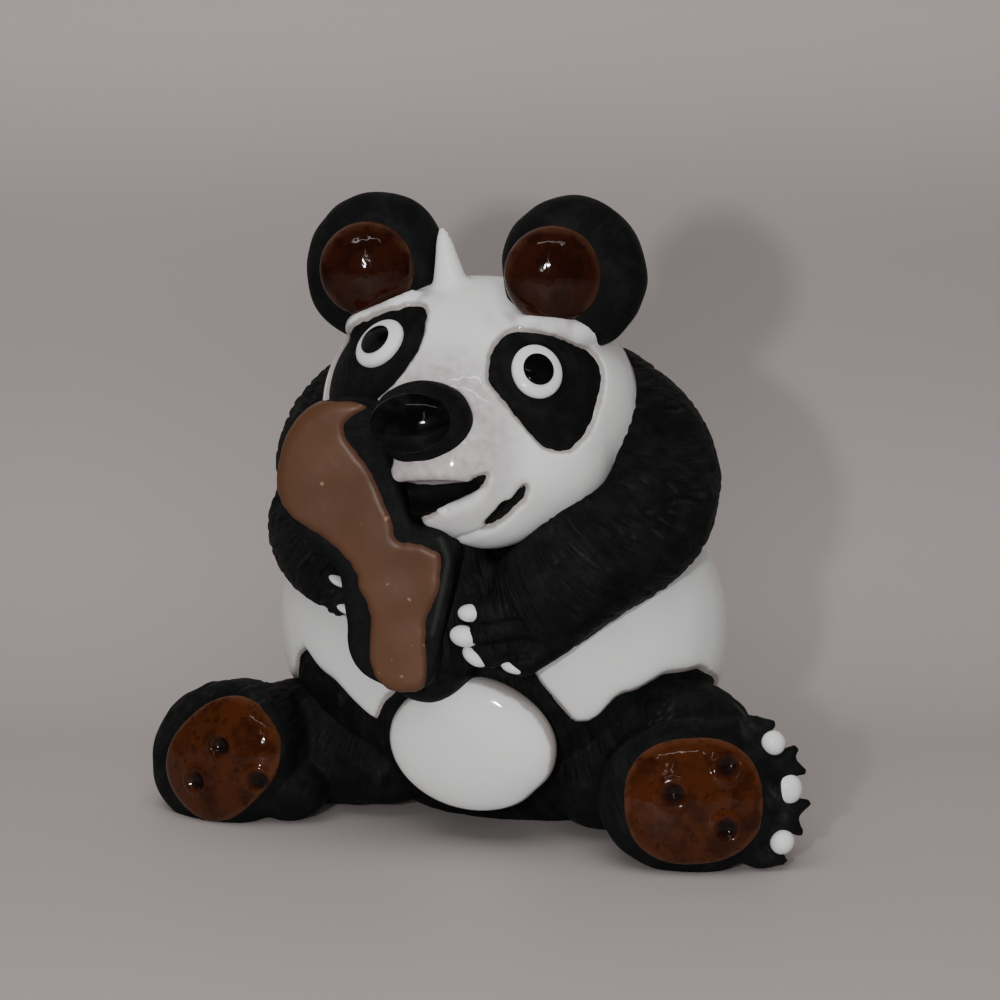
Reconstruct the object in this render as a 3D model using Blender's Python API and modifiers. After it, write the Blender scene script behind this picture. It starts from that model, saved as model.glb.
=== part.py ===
"""Seated panda figurine of carved and glazed clay, built as one solid.

Metres, +Z up. The panda looks along -Y, so its left side is at +X.
The origin is at the middle of the flat seat that it rests on.
Every lump of clay is a named size with a place. The lumps are fused, cut and thinned to facets.
Places on a lump are shares of its half sizes, so they stay on it when its size changes.
"""

import math
from collections import namedtuple

import bmesh
import bpy
from mathutils import Euler, Vector

MM = 0.001
Lump = namedtuple("Lump", "centre size")

# Clay working
BLEND_VOXEL = 0.6 * MM
FUSE_VOXEL = 0.42 * MM
FACETS = 9600
BALL_SEGMENTS = 40
BALL_RINGS = 24
ROD_SIDES = 5

# Torso, with its seat pressed flat and its front underside lifted off the table. What lies nearer
# the table plane than the snap is put on it.
TORSO_WIDTH = 46.6 * MM
TORSO_DEPTH = 32 * MM
TORSO_HEIGHT = 42.2 * MM
SEAT_PRESS = 1.4 * MM
SEAT_LIFT = 2.9 * MM
SEAT_FRONT = 0.5 * MM
TABLE_SNAP = 0.025 * MM
TORSO_BACK = 2 * MM
EGG_LEAN = 0.7 * MM

# Shoulders, a thick ring of fur behind and under the head
SHOULDER_WIDTH = 47.7 * MM
SHOULDER_DEPTH = 30 * MM
SHOULDER_HEIGHT = 35.2 * MM
SHOULDER_LEAN = 1.8 * MM

# Head
HEAD_WIDTH = 32.2 * MM
HEAD_DEPTH = 30 * MM
HEAD_HEIGHT = 28.6 * MM
HEAD_RISE = 23.7 * MM
HEAD_FORWARD = 6 * MM

# Tuft of fur in front of the right ear: its width at foot, middle and tip
TUFT_WIDTHS = (4.6 * MM, 2.6 * MM, 1.0 * MM)

# Muzzle, nose and mouth
MUZZLE_WIDTH = 16 * MM
MUZZLE_DEPTH = 16 * MM
MUZZLE_HEIGHT = 15 * MM
NOSE_WIDTH = 9.8 * MM
NOSE_DEPTH = 6 * MM
NOSE_HEIGHT = 7.8 * MM
NOSE_TILT = -8
MOUTH_WIDTH = 13.5 * MM
MOUTH_DEPTH = 7.5 * MM
MOUTH_GAPE = 3.6 * MM

# Eyes, white beads that stand a little out of dark patches
EYE_WIDTH = 5 * MM
EYE_HEIGHT = 5.4 * MM
EYE_BULGE = 0.7 * MM
PUPIL_SHARE = 0.56

# Ears, round lobes turned outwards, with a domed bead in front
EAR_WIDTH = 13.9 * MM
EAR_HEIGHT = 14.9 * MM
EAR_THICKNESS = 8.6 * MM
EAR_TURN = 18
EAR_BEAD_SHARE = 0.68
EAR_BEAD_THICKNESS = 4.2 * MM
EAR_BEAD_SINK = 0.8 * MM

# Arms and hands
ARM_WIDTH = 15 * MM
FINGER_WIDTH = 4.2 * MM
CLAW_THICKNESS = 2.3 * MM

# Legs and feet, soles to the front and toes to the sides
LEG_WIDTH = 13.6 * MM
FOOT_WIDTH = 18.4 * MM
FOOT_HEIGHT = 15.2 * MM
FOOT_THICKNESS = 9.5 * MM
FOOT_TILT = -6
FOOT_SQUARE = 0.55
PAD_WIDTH = 0.75 * FOOT_WIDTH
PAD_HEIGHT = 0.8 * FOOT_HEIGHT
PAD_BULGE = 0.7 * MM
TOE_WIDTH = 4.2 * MM
TOE_SPREAD = 15
CLAW_ANGLES = (34, 2, -33)
TOE_CLAW_WIDTH = 2.3 * MM
Foot = namedtuple("Foot", "side across drop lean yaw claw_front pad_shift")
FEET = [Foot(1, 1.01, -0.61, -4, 20, 0.1, -0.05), Foot(-1, 1.125, -0.635, -24, -8, -0.14, 0.035)]

# Belly bead and tail
BELLY_WIDTH = 17.4 * MM
BELLY_HEIGHT = 14.8 * MM
BELLY_THICKNESS = 3.8 * MM
BELLY_ACROSS = 0.09
BELLY_UP = -0.42
TAIL_WIDTH = 9 * MM

# Food that the panda holds and eats, a flat slab with a round lobe and a thinner stem
SHOOT_LENGTH = 27.5 * MM
SHOOT_THICKNESS = 6 * MM
SHOOT_TAPER = 0.55
SHOOT_ROUNDING = 0.9 * MM
SHOOT_TURN = 8

TORSO = Lump(
    Vector((0, TORSO_BACK, TORSO_HEIGHT / 2 - SEAT_PRESS)),
    Vector((TORSO_WIDTH, TORSO_DEPTH, TORSO_HEIGHT)),
)
SHOULDERS = Lump(
    TORSO.centre + Vector((-SHOULDER_LEAN, 0.03 * TORSO_DEPTH, 0.337 * TORSO_HEIGHT)),
    Vector((SHOULDER_WIDTH, SHOULDER_DEPTH, SHOULDER_HEIGHT)),
)
HEAD = Lump(
    TORSO.centre + Vector((-0.01 * TORSO_WIDTH, -HEAD_FORWARD, HEAD_RISE)),
    Vector((HEAD_WIDTH, HEAD_DEPTH, HEAD_HEIGHT)),
)
MUZZLE = Lump(
    HEAD.centre + Vector((0.055 * HEAD_WIDTH, -0.35 * HEAD_DEPTH, -0.155 * HEAD_HEIGHT)),
    Vector((MUZZLE_WIDTH, MUZZLE_DEPTH, MUZZLE_HEIGHT)),
)


def inside(lump, across, forward, up):
    """Place in a lump, each share counted from its centre in half sizes."""
    half = lump.size / 2
    return lump.centre + Vector((across * half.x, -forward * half.y, up * half.z))


def front(lump, across, up, out=0.0):
    """Place on the front face of a lump, moved out along its normal."""
    half = lump.size / 2
    forward = math.sqrt(max(0.0, 1 - across ** 2 - up ** 2))
    normal = Vector((across / half.x, -forward / half.y, up / half.z)).normalized()
    return inside(lump, across, forward, up) + normal * out


def facing(lump, across, up):
    """Turn that lays a ball's Y axis along the front normal of a lump."""
    half = lump.size / 2
    forward = math.sqrt(max(0.0, 1 - across ** 2 - up ** 2))
    normal = Vector((across / half.x, -forward / half.y, up / half.z))
    return normal.to_track_quat("-Y", "Z").to_euler()


def ball(centre, size, turn=(0, 0, 0), square=1.0):
    """Ball of clay. A square value under 1 flattens its front and back."""
    bpy.ops.mesh.primitive_uv_sphere_add(segments=BALL_SEGMENTS, ring_count=BALL_RINGS, radius=1)
    clay = bpy.context.object
    half = Vector(size) / 2
    spin = Euler(turn).to_matrix()
    for vertex in clay.data.vertices:
        x, y, z = vertex.co
        y = math.copysign(abs(y) ** square, y)
        vertex.co = spin @ Vector((x * half.x, y * half.y, z * half.z)) + Vector(centre)
    return clay


def rod(points, widths):
    """Rounded roll of clay along a smooth path."""
    curve = bpy.data.curves.new("roll", "CURVE")
    curve.dimensions = "3D"
    curve.bevel_depth = 0.5
    curve.bevel_resolution = ROD_SIDES
    curve.use_fill_caps = True
    spline = curve.splines.new("BEZIER")
    spline.bezier_points.add(len(points) - 1)
    for knot, point, width in zip(spline.bezier_points, points, widths):
        knot.co = point
        knot.radius = width
        knot.handle_left_type = "AUTO"
        knot.handle_right_type = "AUTO"
    clay = settle(bpy.data.objects.new("roll", curve))
    ends = [ball(points[0], (widths[0],) * 3), ball(points[-1], (widths[-1],) * 3)]
    return [clay] + ends


def settle(holder):
    """Replace an object that has modifiers or is a curve with its plain mesh."""
    if not holder.users_collection:
        bpy.context.scene.collection.objects.link(holder)
    bpy.context.view_layer.update()
    seen = holder.evaluated_get(bpy.context.evaluated_depsgraph_get())
    mesh = bpy.data.meshes.new_from_object(seen)
    clay = bpy.data.objects.new(holder.name, mesh)
    bpy.context.scene.collection.objects.link(clay)
    bpy.data.objects.remove(holder)
    return clay


def fuse(lumps, voxel, smooth):
    """Press lumps into one skin and rub its seams smooth."""
    flat = []
    for lump in lumps:
        flat.extend(lump if isinstance(lump, list) else [lump])
    bpy.ops.object.select_all(action="DESELECT")
    for lump in flat:
        lump.select_set(True)
    clay = flat[0]
    bpy.context.view_layer.objects.active = clay
    if len(flat) > 1:
        bpy.ops.object.join()
    remesh = clay.modifiers.new("fuse", "REMESH")
    remesh.mode = "VOXEL"
    remesh.voxel_size = voxel
    rub = clay.modifiers.new("rub", "SMOOTH")
    rub.factor = 0.5
    rub.iterations = smooth
    return settle(clay)


def cut(clay, cutter):
    """Take the cutter's space out of the clay."""
    knife = clay.modifiers.new("cut", "BOOLEAN")
    knife.operation = "DIFFERENCE"
    knife.solver = "EXACT"
    knife.object = cutter
    clay = settle(clay)
    bpy.data.objects.remove(cutter)
    return clay


def groove(clay, path, width, depth):
    """Press a rounded groove into the front of the clay along a path of points."""
    bm = bmesh.new()
    bm.from_mesh(clay.data)
    bm.normal_update()
    for vertex in bm.verts:
        near = min(distance_to(vertex.co, a, b) for a, b in zip(path, path[1:]))
        if near < width:
            press = math.cos(near / width * math.pi / 2) ** 2
            vertex.co -= vertex.normal * depth * press
    bm.to_mesh(clay.data)
    bm.free()


def distance_to(point, a, b):
    """Distance of a point from the straight line between two points."""
    along = b - a
    share = min(1.0, max(0.0, (point - a).dot(along) / along.length_squared))
    return (point - a - along * share).length


def egg():
    """Egg of a torso, lifted off the table in front of the seat."""
    clay = ball(TORSO.centre - Vector((EGG_LEAN, 0, 0)), TORSO.size)
    for vertex in clay.data.vertices:
        ahead = (SEAT_FRONT - vertex.co.y) / (0.25 * TORSO_DEPTH)
        low = 1 - vertex.co.z / (0.24 * TORSO_HEIGHT)
        vertex.co.z += SEAT_LIFT * min(1, max(0, ahead)) * min(1, max(0, low))
    return clay


def arm(knots):
    """Arm from the shoulder to the wrist, in shares of the shoulders and of the arm's width."""
    return rod([inside(SHOULDERS, *knot[:3]) for knot in knots], [knot[3] * ARM_WIDTH for knot in knots])


def torso():
    """Egg of a torso with fur ring, both arms, the tail and the clay behind the food."""
    left_arm = arm([(0.76, 0.1, 0.09, 0.87), (0.79, 0.54, -0.08, 0.84), (0.64, 0.92, -0.25, 0.83),
                    (0.5, 1.08, -0.42, 0.77)])
    right_arm = arm([(-0.6, 0.1, 0.0, 0.9), (-0.645, 0.46, -0.19, 0.87), (-0.53, 0.86, -0.3, 0.73),
                     (-0.43, 1.08, -0.34, 0.64)])
    ring = ball(inside(SHOULDERS, 0, 0, 0.09), (SHOULDER_WIDTH, SHOULDER_DEPTH, 0.91 * SHOULDER_HEIGHT))
    tail = ball(inside(TORSO, 0, -0.95, -0.5), (TAIL_WIDTH, 0.9 * TAIL_WIDTH, 0.9 * TAIL_WIDTH))
    held = ball(
        inside(TORSO, -0.08, 1.08, 0.08), (0.24 * TORSO_WIDTH, 0.26 * TORSO_DEPTH, 0.3 * TORSO_HEIGHT),
    )
    grip_size = (0.28 * SHOULDER_WIDTH, 0.28 * SHOULDER_DEPTH, 0.42 * SHOULDER_HEIGHT)
    grip = ball(inside(SHOULDERS, 0, 1.16, -0.4), grip_size)
    return fuse([egg(), ring, tail, held, grip, left_arm, right_arm], BLEND_VOXEL, 10)


def touch(clay, lump, across, up):
    """Place where a straight look from the front meets the clay, by shares of a lump."""
    aim = inside(lump, across, 0, up)
    hit, place, _, _ = clay.ray_cast((aim.x, -1, aim.z), (0, 1, 0))
    return place if hit else aim


def head():
    """Round head with cheeks and muzzle, a mouth cut open beside the food and a smile line."""
    skull = ball(inside(HEAD, 0, 0, -0.056), (HEAD_WIDTH, HEAD_DEPTH, 0.944 * HEAD_HEIGHT))
    muzzle = ball(MUZZLE.centre, MUZZLE.size)
    cheeks = ball(inside(HEAD, 0.14, 0.36, -0.31), (0.75 * HEAD_WIDTH, 0.66 * HEAD_DEPTH, 0.58 * HEAD_HEIGHT))
    chin = ball(
        inside(MUZZLE, 0.25, -0.2, -0.57), (0.85 * MUZZLE_WIDTH, 0.7 * MUZZLE_DEPTH, 0.58 * MUZZLE_HEIGHT),
    )
    clay = fuse([skull, muzzle, cheeks, chin], BLEND_VOXEL, 22)
    tuft = [inside(HEAD, -0.11, 0.25, 0.84), inside(HEAD, -0.135, 0.23, 1.04), inside(HEAD, -0.176, 0.2, 1.2)]
    clay = fuse([clay] + rod(tuft, TUFT_WIDTHS), FUSE_VOXEL, 3)
    mouth = ball(
        inside(MUZZLE, -0.2, 0.84, -0.32), (MOUTH_WIDTH, MOUTH_DEPTH, MOUTH_GAPE),
        (0, math.radians(-8), 0),
    )
    clay = cut(clay, mouth)
    clay = fuse([clay], FUSE_VOXEL, 1)
    bpy.context.view_layer.update()
    smile = [touch(clay, MUZZLE, *spot) for spot in ((0.84, -0.27), (0.46, -0.77), (0.09, -1.0))]
    groove(clay, smile, 1.1 * MM, 0.9 * MM)
    return clay


def ear(across, forward, up, lean, aside, below):
    """Round ear lobe leant on the head, with a glossy bead in front, aside of its middle and below it."""
    centre = inside(HEAD, across, forward, up)
    turn = Euler((0, 0, math.radians(EAR_TURN)))
    leant = (0, math.radians(lean), math.radians(EAR_TURN))
    lobe = ball(centre, (EAR_WIDTH, EAR_THICKNESS, EAR_HEIGHT), leant, 0.75)
    bead_size = Vector((EAR_WIDTH * EAR_BEAD_SHARE, EAR_BEAD_THICKNESS, EAR_WIDTH * EAR_BEAD_SHARE))
    middle = centre + turn.to_matrix() @ Vector((aside, EAR_BEAD_SINK - EAR_THICKNESS / 2, -below))
    return [lobe, ball(middle, bead_size, turn)]


def eye(across, up, look):
    """Eye bead with a pupil that looks a little to one side."""
    turn = facing(HEAD, across, up)
    white = ball(front(HEAD, across, up), (EYE_WIDTH, 2 * EYE_BULGE, EYE_HEIGHT), turn)
    pupil = ball(
        front(HEAD, across + look[0], up + look[1], 0.75 * EYE_BULGE),
        (EYE_WIDTH * PUPIL_SHARE, 1.6 * EYE_BULGE, EYE_HEIGHT * PUPIL_SHARE), turn,
    )
    return [white, pupil]


def nose():
    """Broad oval nose on top of the muzzle."""
    turn = (math.radians(-4), math.radians(NOSE_TILT), math.radians(4))
    return ball(inside(MUZZLE, -0.15, 0.78, 0.6), (NOSE_WIDTH, NOSE_DEPTH, NOSE_HEIGHT), turn)


def hand(wrist, tips):
    """Fingers from a wrist to their tips, and a claw on each with its lean, width and height in mm."""
    clay = []
    base = inside(SHOULDERS, *wrist)
    for across, forward, up, lean, width, height in tips:
        tip = inside(SHOULDERS, across, forward, up)
        clay += rod([base.lerp(tip, 0.35), base.lerp(tip, 0.85)], [FINGER_WIDTH, FINGER_WIDTH * 0.85])
        clay.append(ball(tip, (width * MM, CLAW_THICKNESS, height * MM), (0, math.radians(lean), 0)))
    return clay


def foot(place):
    """Foot disc with a pad on its sole, and claws between hooks on its outer rim."""
    centre = inside(TORSO, place.side * place.across, 0.72, place.drop)
    turn = Euler((math.radians(FOOT_TILT), math.radians(place.lean), math.radians(place.yaw)))
    spin = turn.to_matrix()

    def rim(angle, share, ahead):
        a = math.radians(angle)
        across = place.side * share * FOOT_WIDTH * math.cos(a)
        up = (share + 0.04) * FOOT_HEIGHT * math.sin(a)
        return centre + spin @ Vector((across, -ahead * FOOT_WIDTH, up))

    clay = [ball(centre, (FOOT_WIDTH, FOOT_THICKNESS, FOOT_HEIGHT), turn, FOOT_SQUARE)]
    for angle in CLAW_ANGLES:
        for way in (-TOE_SPREAD, TOE_SPREAD):
            hook = [rim(angle + way, 0.33, place.claw_front - 0.1),
                    rim(angle + 0.95 * way, 0.45, place.claw_front - 0.03),
                    rim(angle + 0.62 * way, 0.535, place.claw_front)]
            clay += rod(hook, [0.95 * TOE_WIDTH, 0.8 * TOE_WIDTH, 0.4 * TOE_WIDTH])
        lean = (0, math.radians(-place.side * angle), math.radians(place.yaw))
        size = (TOE_CLAW_WIDTH, TOE_CLAW_WIDTH, 1.1 * TOE_CLAW_WIDTH)
        clay.append(ball(rim(angle, 0.48, place.claw_front), size, lean))
    pad_place = Vector((place.pad_shift * FOOT_WIDTH, 0.4 * PAD_BULGE - FOOT_THICKNESS / 2, 0))
    clay.append(ball(centre + spin @ pad_place, (PAD_WIDTH, 3.2 * PAD_BULGE, PAD_HEIGHT), turn, FOOT_SQUARE))
    return clay


def leg(side, across, up, ankle_up):
    """Short thick leg from the hip to the foot."""
    hip = inside(TORSO, side * 0.5 * across, 0.3, -0.58)
    knee = inside(TORSO, side * 0.84 * across, 0.36, up)
    ankle = inside(TORSO, side * across, 0.52, ankle_up)
    return rod([hip, knee, ankle], [LEG_WIDTH, LEG_WIDTH, 0.85 * LEG_WIDTH])


def belly():
    """Belly bead between the legs."""
    turn = facing(TORSO, BELLY_ACROSS, BELLY_UP)
    place = front(TORSO, BELLY_ACROSS, BELLY_UP)
    return ball(place, (BELLY_WIDTH, BELLY_THICKNESS, BELLY_HEIGHT), turn, 0.8)


def shoot():
    """Slab of food, drawn in shares of its length from its waist and set upright."""
    outline = [
        (0.01, 0.53), (0.02, 0.435), (0.045, 0.325), (0.085, 0.2), (0.125, 0.115), (0.24, 0.1),
        (0.27, 0.05), (0.262, -0.03), (0.24, -0.115), (0.215, -0.25), (0.2, -0.38), (0.18, -0.445),
        (0.1, -0.46), (0.015, -0.435), (-0.045, -0.385), (-0.065, -0.31), (-0.07, -0.21), (-0.085, -0.11),
        (-0.105, -0.02), (-0.155, 0.035), (-0.235, 0.1), (-0.3, 0.155), (-0.335, 0.25), (-0.33, 0.35),
        (-0.29, 0.445), (-0.215, 0.525), (-0.095, 0.555),
    ]
    curve = bpy.data.curves.new("slab", "CURVE")
    curve.dimensions = "2D"
    curve.fill_mode = "BOTH"
    curve.extrude = SHOOT_THICKNESS / 2 - SHOOT_ROUNDING
    curve.bevel_depth = SHOOT_ROUNDING
    curve.bevel_resolution = 3
    spline = curve.splines.new("BEZIER")
    spline.bezier_points.add(len(outline) - 1)
    spline.use_cyclic_u = True
    for knot, (across, up) in zip(spline.bezier_points, outline):
        knot.co = (across * SHOOT_LENGTH, up * SHOOT_LENGTH, 0)
        knot.handle_left_type = "AUTO"
        knot.handle_right_type = "AUTO"
    slab = settle(bpy.data.objects.new("slab", curve))
    turn = Euler((math.radians(90), 0, math.radians(SHOOT_TURN))).to_matrix()
    middle = inside(SHOULDERS, -0.13, 1.6, -0.24) + turn @ Vector((0, 0, -SHOOT_THICKNESS / 2))
    for vertex in slab.data.vertices:
        low = min(1, max(0, 0.3 - vertex.co.y / SHOOT_LENGTH) / 0.5)
        back = 0.5 - vertex.co.z / SHOOT_THICKNESS
        vertex.co.z += SHOOT_TAPER * low * back * SHOOT_THICKNESS
        vertex.co = turn @ vertex.co + middle
    return slab


def thin(clay):
    """Bring the skin down to the number of facets a solid may have."""
    count = sum(len(face.vertices) - 2 for face in clay.data.polygons)
    reduce = clay.modifiers.new("thin", "DECIMATE")
    reduce.ratio = FACETS / count
    return settle(clay)


def sit(clay):
    """Cut everything below the table off, close the flat seat and lay its rim on the table."""
    bm = bmesh.new()
    bm.from_mesh(clay.data)
    everything = bm.verts[:] + bm.edges[:] + bm.faces[:]
    bmesh.ops.bisect_plane(
        bm, geom=everything, dist=0.8 * TABLE_SNAP, plane_co=(0, 0, 0), plane_no=(0, 0, 1),
        clear_inner=True,
    )
    rim = [edge for edge in bm.edges if edge.is_boundary]
    bmesh.ops.holes_fill(bm, edges=rim)
    bmesh.ops.triangulate(bm, faces=bm.faces[:])
    bmesh.ops.dissolve_degenerate(bm, dist=0.005 * MM, edges=bm.edges[:])
    for vertex in bm.verts:
        if abs(vertex.co.z) < TABLE_SNAP:
            vertex.co.z = 0
    bmesh.ops.recalc_face_normals(bm, faces=bm.faces[:])
    bm.to_mesh(clay.data)
    bm.free()


def panda():
    """Fuse body, head, limbs and beads into the finished figurine."""
    left_hand = hand((0.62, 1.05, -0.55), [
        (0.25, 1.45, -0.5, 0, 2.4, 1.7), (0.225, 1.45, -0.63, 8, 2.9, 2.1),
        (0.26, 1.4, -0.745, 32, 2.8, 1.7), (0.41, 1.33, -0.8, 12, 2.7, 1.4)])
    right_hand = hand((-0.62, 0.95, -0.3), [
        (-0.395, 1.36, -0.166, 38, 2.4, 1.3), (-0.345, 1.37, -0.385, 30, 2.9, 1.6),
        (-0.31, 1.36, -0.55, 24, 2.6, 1.5)])
    limbs = [leg(1, 1.07, -0.45, -0.52), leg(-1, 1.02, -0.6, -0.58)] + [foot(place) for place in FEET]
    body = fuse([torso(), head()] + limbs, FUSE_VOXEL, 3)
    beads = [nose(), belly(), shoot(), left_hand, right_hand]
    beads.append(ear(-0.636, 0.16, 0.95, 20, -0.6 * MM, 0.1 * MM))
    beads.append(ear(0.66, 0.16, 0.94, -20, -1.9 * MM, 0.0))
    beads += [eye(-0.35, 0.49, (-0.05, 0.02)), eye(0.6, 0.32, (0.0, 0.0))]
    clay = fuse([body] + beads, FUSE_VOXEL, 1)
    clay = thin(clay)
    sit(clay)
    return clay


def main():
    """Start from an empty scene and leave one finished solid in it."""
    for old in list(bpy.data.objects):
        bpy.data.objects.remove(old)
    clay = panda()
    clay.name = "panda_figurine"
    clay.data.name = "panda_figurine"
    group = bpy.data.collections.new("panda_figurine")
    bpy.context.scene.collection.children.link(group)
    bpy.context.scene.collection.objects.unlink(clay)
    group.objects.link(clay)


main()
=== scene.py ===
"""Looks of a seated panda figurine of carved black clay with raised glossy glaze.

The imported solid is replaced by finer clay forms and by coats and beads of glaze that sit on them.
Metres, +Z up. The panda looks along -Y, so its left side is at +X.
"""

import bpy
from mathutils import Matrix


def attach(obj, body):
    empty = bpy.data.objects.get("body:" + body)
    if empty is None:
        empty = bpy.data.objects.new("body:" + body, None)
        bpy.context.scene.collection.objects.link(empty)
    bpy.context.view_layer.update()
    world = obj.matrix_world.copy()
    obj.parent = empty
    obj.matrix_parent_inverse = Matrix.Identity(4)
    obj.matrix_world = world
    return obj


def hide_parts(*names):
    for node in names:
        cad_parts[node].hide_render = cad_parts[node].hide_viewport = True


bl_info = {
    "name": "Panda Figurine",
    "version": (1, 0, 0),
    "blender": (4, 5, 0),
    "location": "3D View > Sidebar > Panda",
    "description": "Seated panda of carved clay with raised glaze",
    "category": "Add Mesh",
}

import math
from collections import namedtuple

import bmesh
import bpy
import numpy as np
from bpy.props import FloatProperty, FloatVectorProperty, PointerProperty
from mathutils import Euler, Vector

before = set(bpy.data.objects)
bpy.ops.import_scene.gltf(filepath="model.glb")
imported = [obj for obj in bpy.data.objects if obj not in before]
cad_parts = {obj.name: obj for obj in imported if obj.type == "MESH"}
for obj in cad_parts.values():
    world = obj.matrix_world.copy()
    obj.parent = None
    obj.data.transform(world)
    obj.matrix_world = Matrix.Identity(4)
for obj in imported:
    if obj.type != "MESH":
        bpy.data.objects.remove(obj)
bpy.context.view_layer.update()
NODE = "panda_figurine"
BODY = "root"
MM = 0.001

Lump = namedtuple("Lump", "centre size")


# Sizes and colours that a user may change


def length(name, description, default, soft_max=0.08):
    """One length in metres."""
    return FloatProperty(
        name=name, description=description, default=default, min=0.0, soft_max=soft_max,
        unit="LENGTH", subtype="DISTANCE", precision=5,
    )


def colour(name, description, default):
    """One linear colour."""
    return FloatVectorProperty(
        name=name, description=description, default=default, size=3, min=0.0, max=1.0, subtype="COLOR",
    )


class PandaBodySizes(bpy.types.PropertyGroup):
    """Sizes of the torso, the fur ring, the limbs and the food."""

    torso_width: length("Torso Width", "Width of the egg-shaped torso", 46.6 * MM)
    torso_depth: length("Torso Depth", "Depth of the torso", 32 * MM)
    torso_height: length("Torso Height", "Height of the torso before its seat is pressed flat", 42.2 * MM)
    seat_press: length("Seat Press", "Height pressed off the torso by the table", 1.4 * MM)
    torso_back: length("Torso Back", "Distance of the torso's middle behind the seat's", 2 * MM)
    egg_lean: length("Egg Lean", "Shift of the torso's belly to the panda's right", 0.7 * MM)
    seat_lift: length("Seat Lift", "Rise of the torso's front underside off the table", 2.9 * MM)
    seat_front: length("Seat Front", "Distance behind the origin where the rise starts", 0.5 * MM)
    ring_width: length("Ring Width", "Width of the fur ring round the shoulders", 47.7 * MM)
    ring_depth: length("Ring Depth", "Depth of the fur ring", 30 * MM)
    ring_height: length("Ring Height", "Height of the fur ring", 35.2 * MM)
    ring_lean: length("Ring Lean", "Lean of the shoulders to the panda's right", 1.8 * MM)
    arm_width: length("Arm Width", "Thickness of an upper arm", 15 * MM)
    wrist_width: length("Wrist Width", "Thickness of a wrist", 10.4 * MM)
    finger_width: length("Finger Width", "Thickness of a finger", 4.2 * MM)
    leg_width: length("Leg Width", "Thickness of a leg", 13.6 * MM)
    foot_width: length("Foot Width", "Width of a sole", 18.4 * MM)
    foot_height: length("Foot Height", "Height of a sole", 15.2 * MM)
    foot_thickness: length("Foot Thickness", "Thickness of a foot from sole to heel", 9.5 * MM)
    toe_width: length("Toe Width", "Thickness of a toe", 4.2 * MM)
    tail_width: length("Tail Width", "Width of the tail", 9 * MM)
    food_length: length("Food Length", "Length of the shoot that is held", 27.5 * MM)
    food_thickness: length("Food Thickness", "Thickness of the shoot", 6 * MM)


class PandaHeadSizes(bpy.types.PropertyGroup):
    """Sizes of the head and what is on it."""

    head_width: length("Head Width", "Width of the skull", 32.2 * MM)
    head_depth: length("Head Depth", "Depth of the skull", 30 * MM)
    head_height: length("Head Height", "Height of the skull", 28.6 * MM)
    head_rise: length("Head Rise", "Height of the skull's middle over the torso's", 23.7 * MM)
    head_forward: length("Head Forward", "Distance of the skull before the torso's middle", 6 * MM)
    muzzle_width: length("Muzzle Width", "Width of the muzzle", 16 * MM)
    muzzle_depth: length("Muzzle Depth", "Depth of the muzzle", 16 * MM)
    muzzle_height: length("Muzzle Height", "Height of the muzzle", 15 * MM)
    nose_width: length("Nose Width", "Width of the nose", 9.8 * MM)
    nose_depth: length("Nose Depth", "Depth of the nose", 6 * MM)
    nose_height: length("Nose Height", "Height of the nose", 7.8 * MM)
    eye_width: length("Eye Width", "Width of a white eye bead", 5 * MM)
    eye_height: length("Eye Height", "Height of a white eye bead", 5.4 * MM)
    ear_width: length("Ear Width", "Width of an ear", 13.9 * MM)
    ear_height: length("Ear Height", "Height of an ear", 14.9 * MM)
    ear_thickness: length("Ear Thickness", "Thickness of an ear", 8.6 * MM)


class PandaFinish(bpy.types.PropertyGroup):
    """Thickness of the glaze, the fur lines and the colours."""

    coat: length("Glaze Coat", "Thickness of the white glaze", 0.42 * MM, 0.002)
    coat_rim: length("Glaze Rim", "Width over which the glaze rounds off at its edge", 0.7 * MM, 0.002)
    fur_pitch: length("Fur Pitch", "Distance between coarse fur strokes", 1.15 * MM, 0.004)
    fur_depth: length("Fur Depth", "Depth of the coarse fur strokes", 0.3 * MM, 0.001)
    clay: colour("Clay", "Bare black clay", (0.0036, 0.0038, 0.0042))
    scuff: colour("Scuff", "Grey-green dust on the scored clay", (0.055, 0.062, 0.05))
    white: colour("White Glaze", "Thick white glaze", (0.79, 0.81, 0.8))
    white_cloud: colour("White Cloud", "Slightly thinner white glaze", (0.7, 0.71, 0.74))
    # Brownish pink stain in the white glaze, which round and under the nose is also painted shade
    white_stain_and_shade: colour("White Stain", "Brownish pink stain in the white glaze", (0.42, 0.37, 0.37))
    white_edge: colour("White Edge", "White glaze where it runs thin", (0.33, 0.29, 0.27))
    amber: colour("Brown Glaze", "Brown glaze of the soles", (0.056, 0.0145, 0.0042))
    ember: colour("Brown Specks", "Dark red flecks in the brown glaze", (0.018, 0.003, 0.0015))
    ear_brown: colour("Ear Glaze", "Deep brown glaze of the ears", (0.024, 0.0058, 0.0026))
    food: colour("Food Glaze", "Satin brown glaze of the shoot", (0.096, 0.041, 0.019))
    ink: colour("Ink Glaze", "Glossy black glaze", (0.002, 0.002, 0.0022))
    floor: colour("Floor", "Pale warm grey of floor and backdrop", (0.43, 0.39, 0.382))


def body_sizes():
    return bpy.context.scene.panda_body


def head_sizes():
    return bpy.context.scene.panda_head


def finish():
    return bpy.context.scene.panda_finish


# Places in the lumps of clay


def torso_lump():
    s = body_sizes()
    return Lump(
        Vector((0, s.torso_back, s.torso_height / 2 - s.seat_press)),
        Vector((s.torso_width, s.torso_depth, s.torso_height)),
    )


def ring_lump():
    s = body_sizes()
    lift = Vector((-s.ring_lean, 0.03 * s.torso_depth, 0.337 * s.torso_height))
    return Lump(torso_lump().centre + lift, Vector((s.ring_width, s.ring_depth, s.ring_height)))


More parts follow.
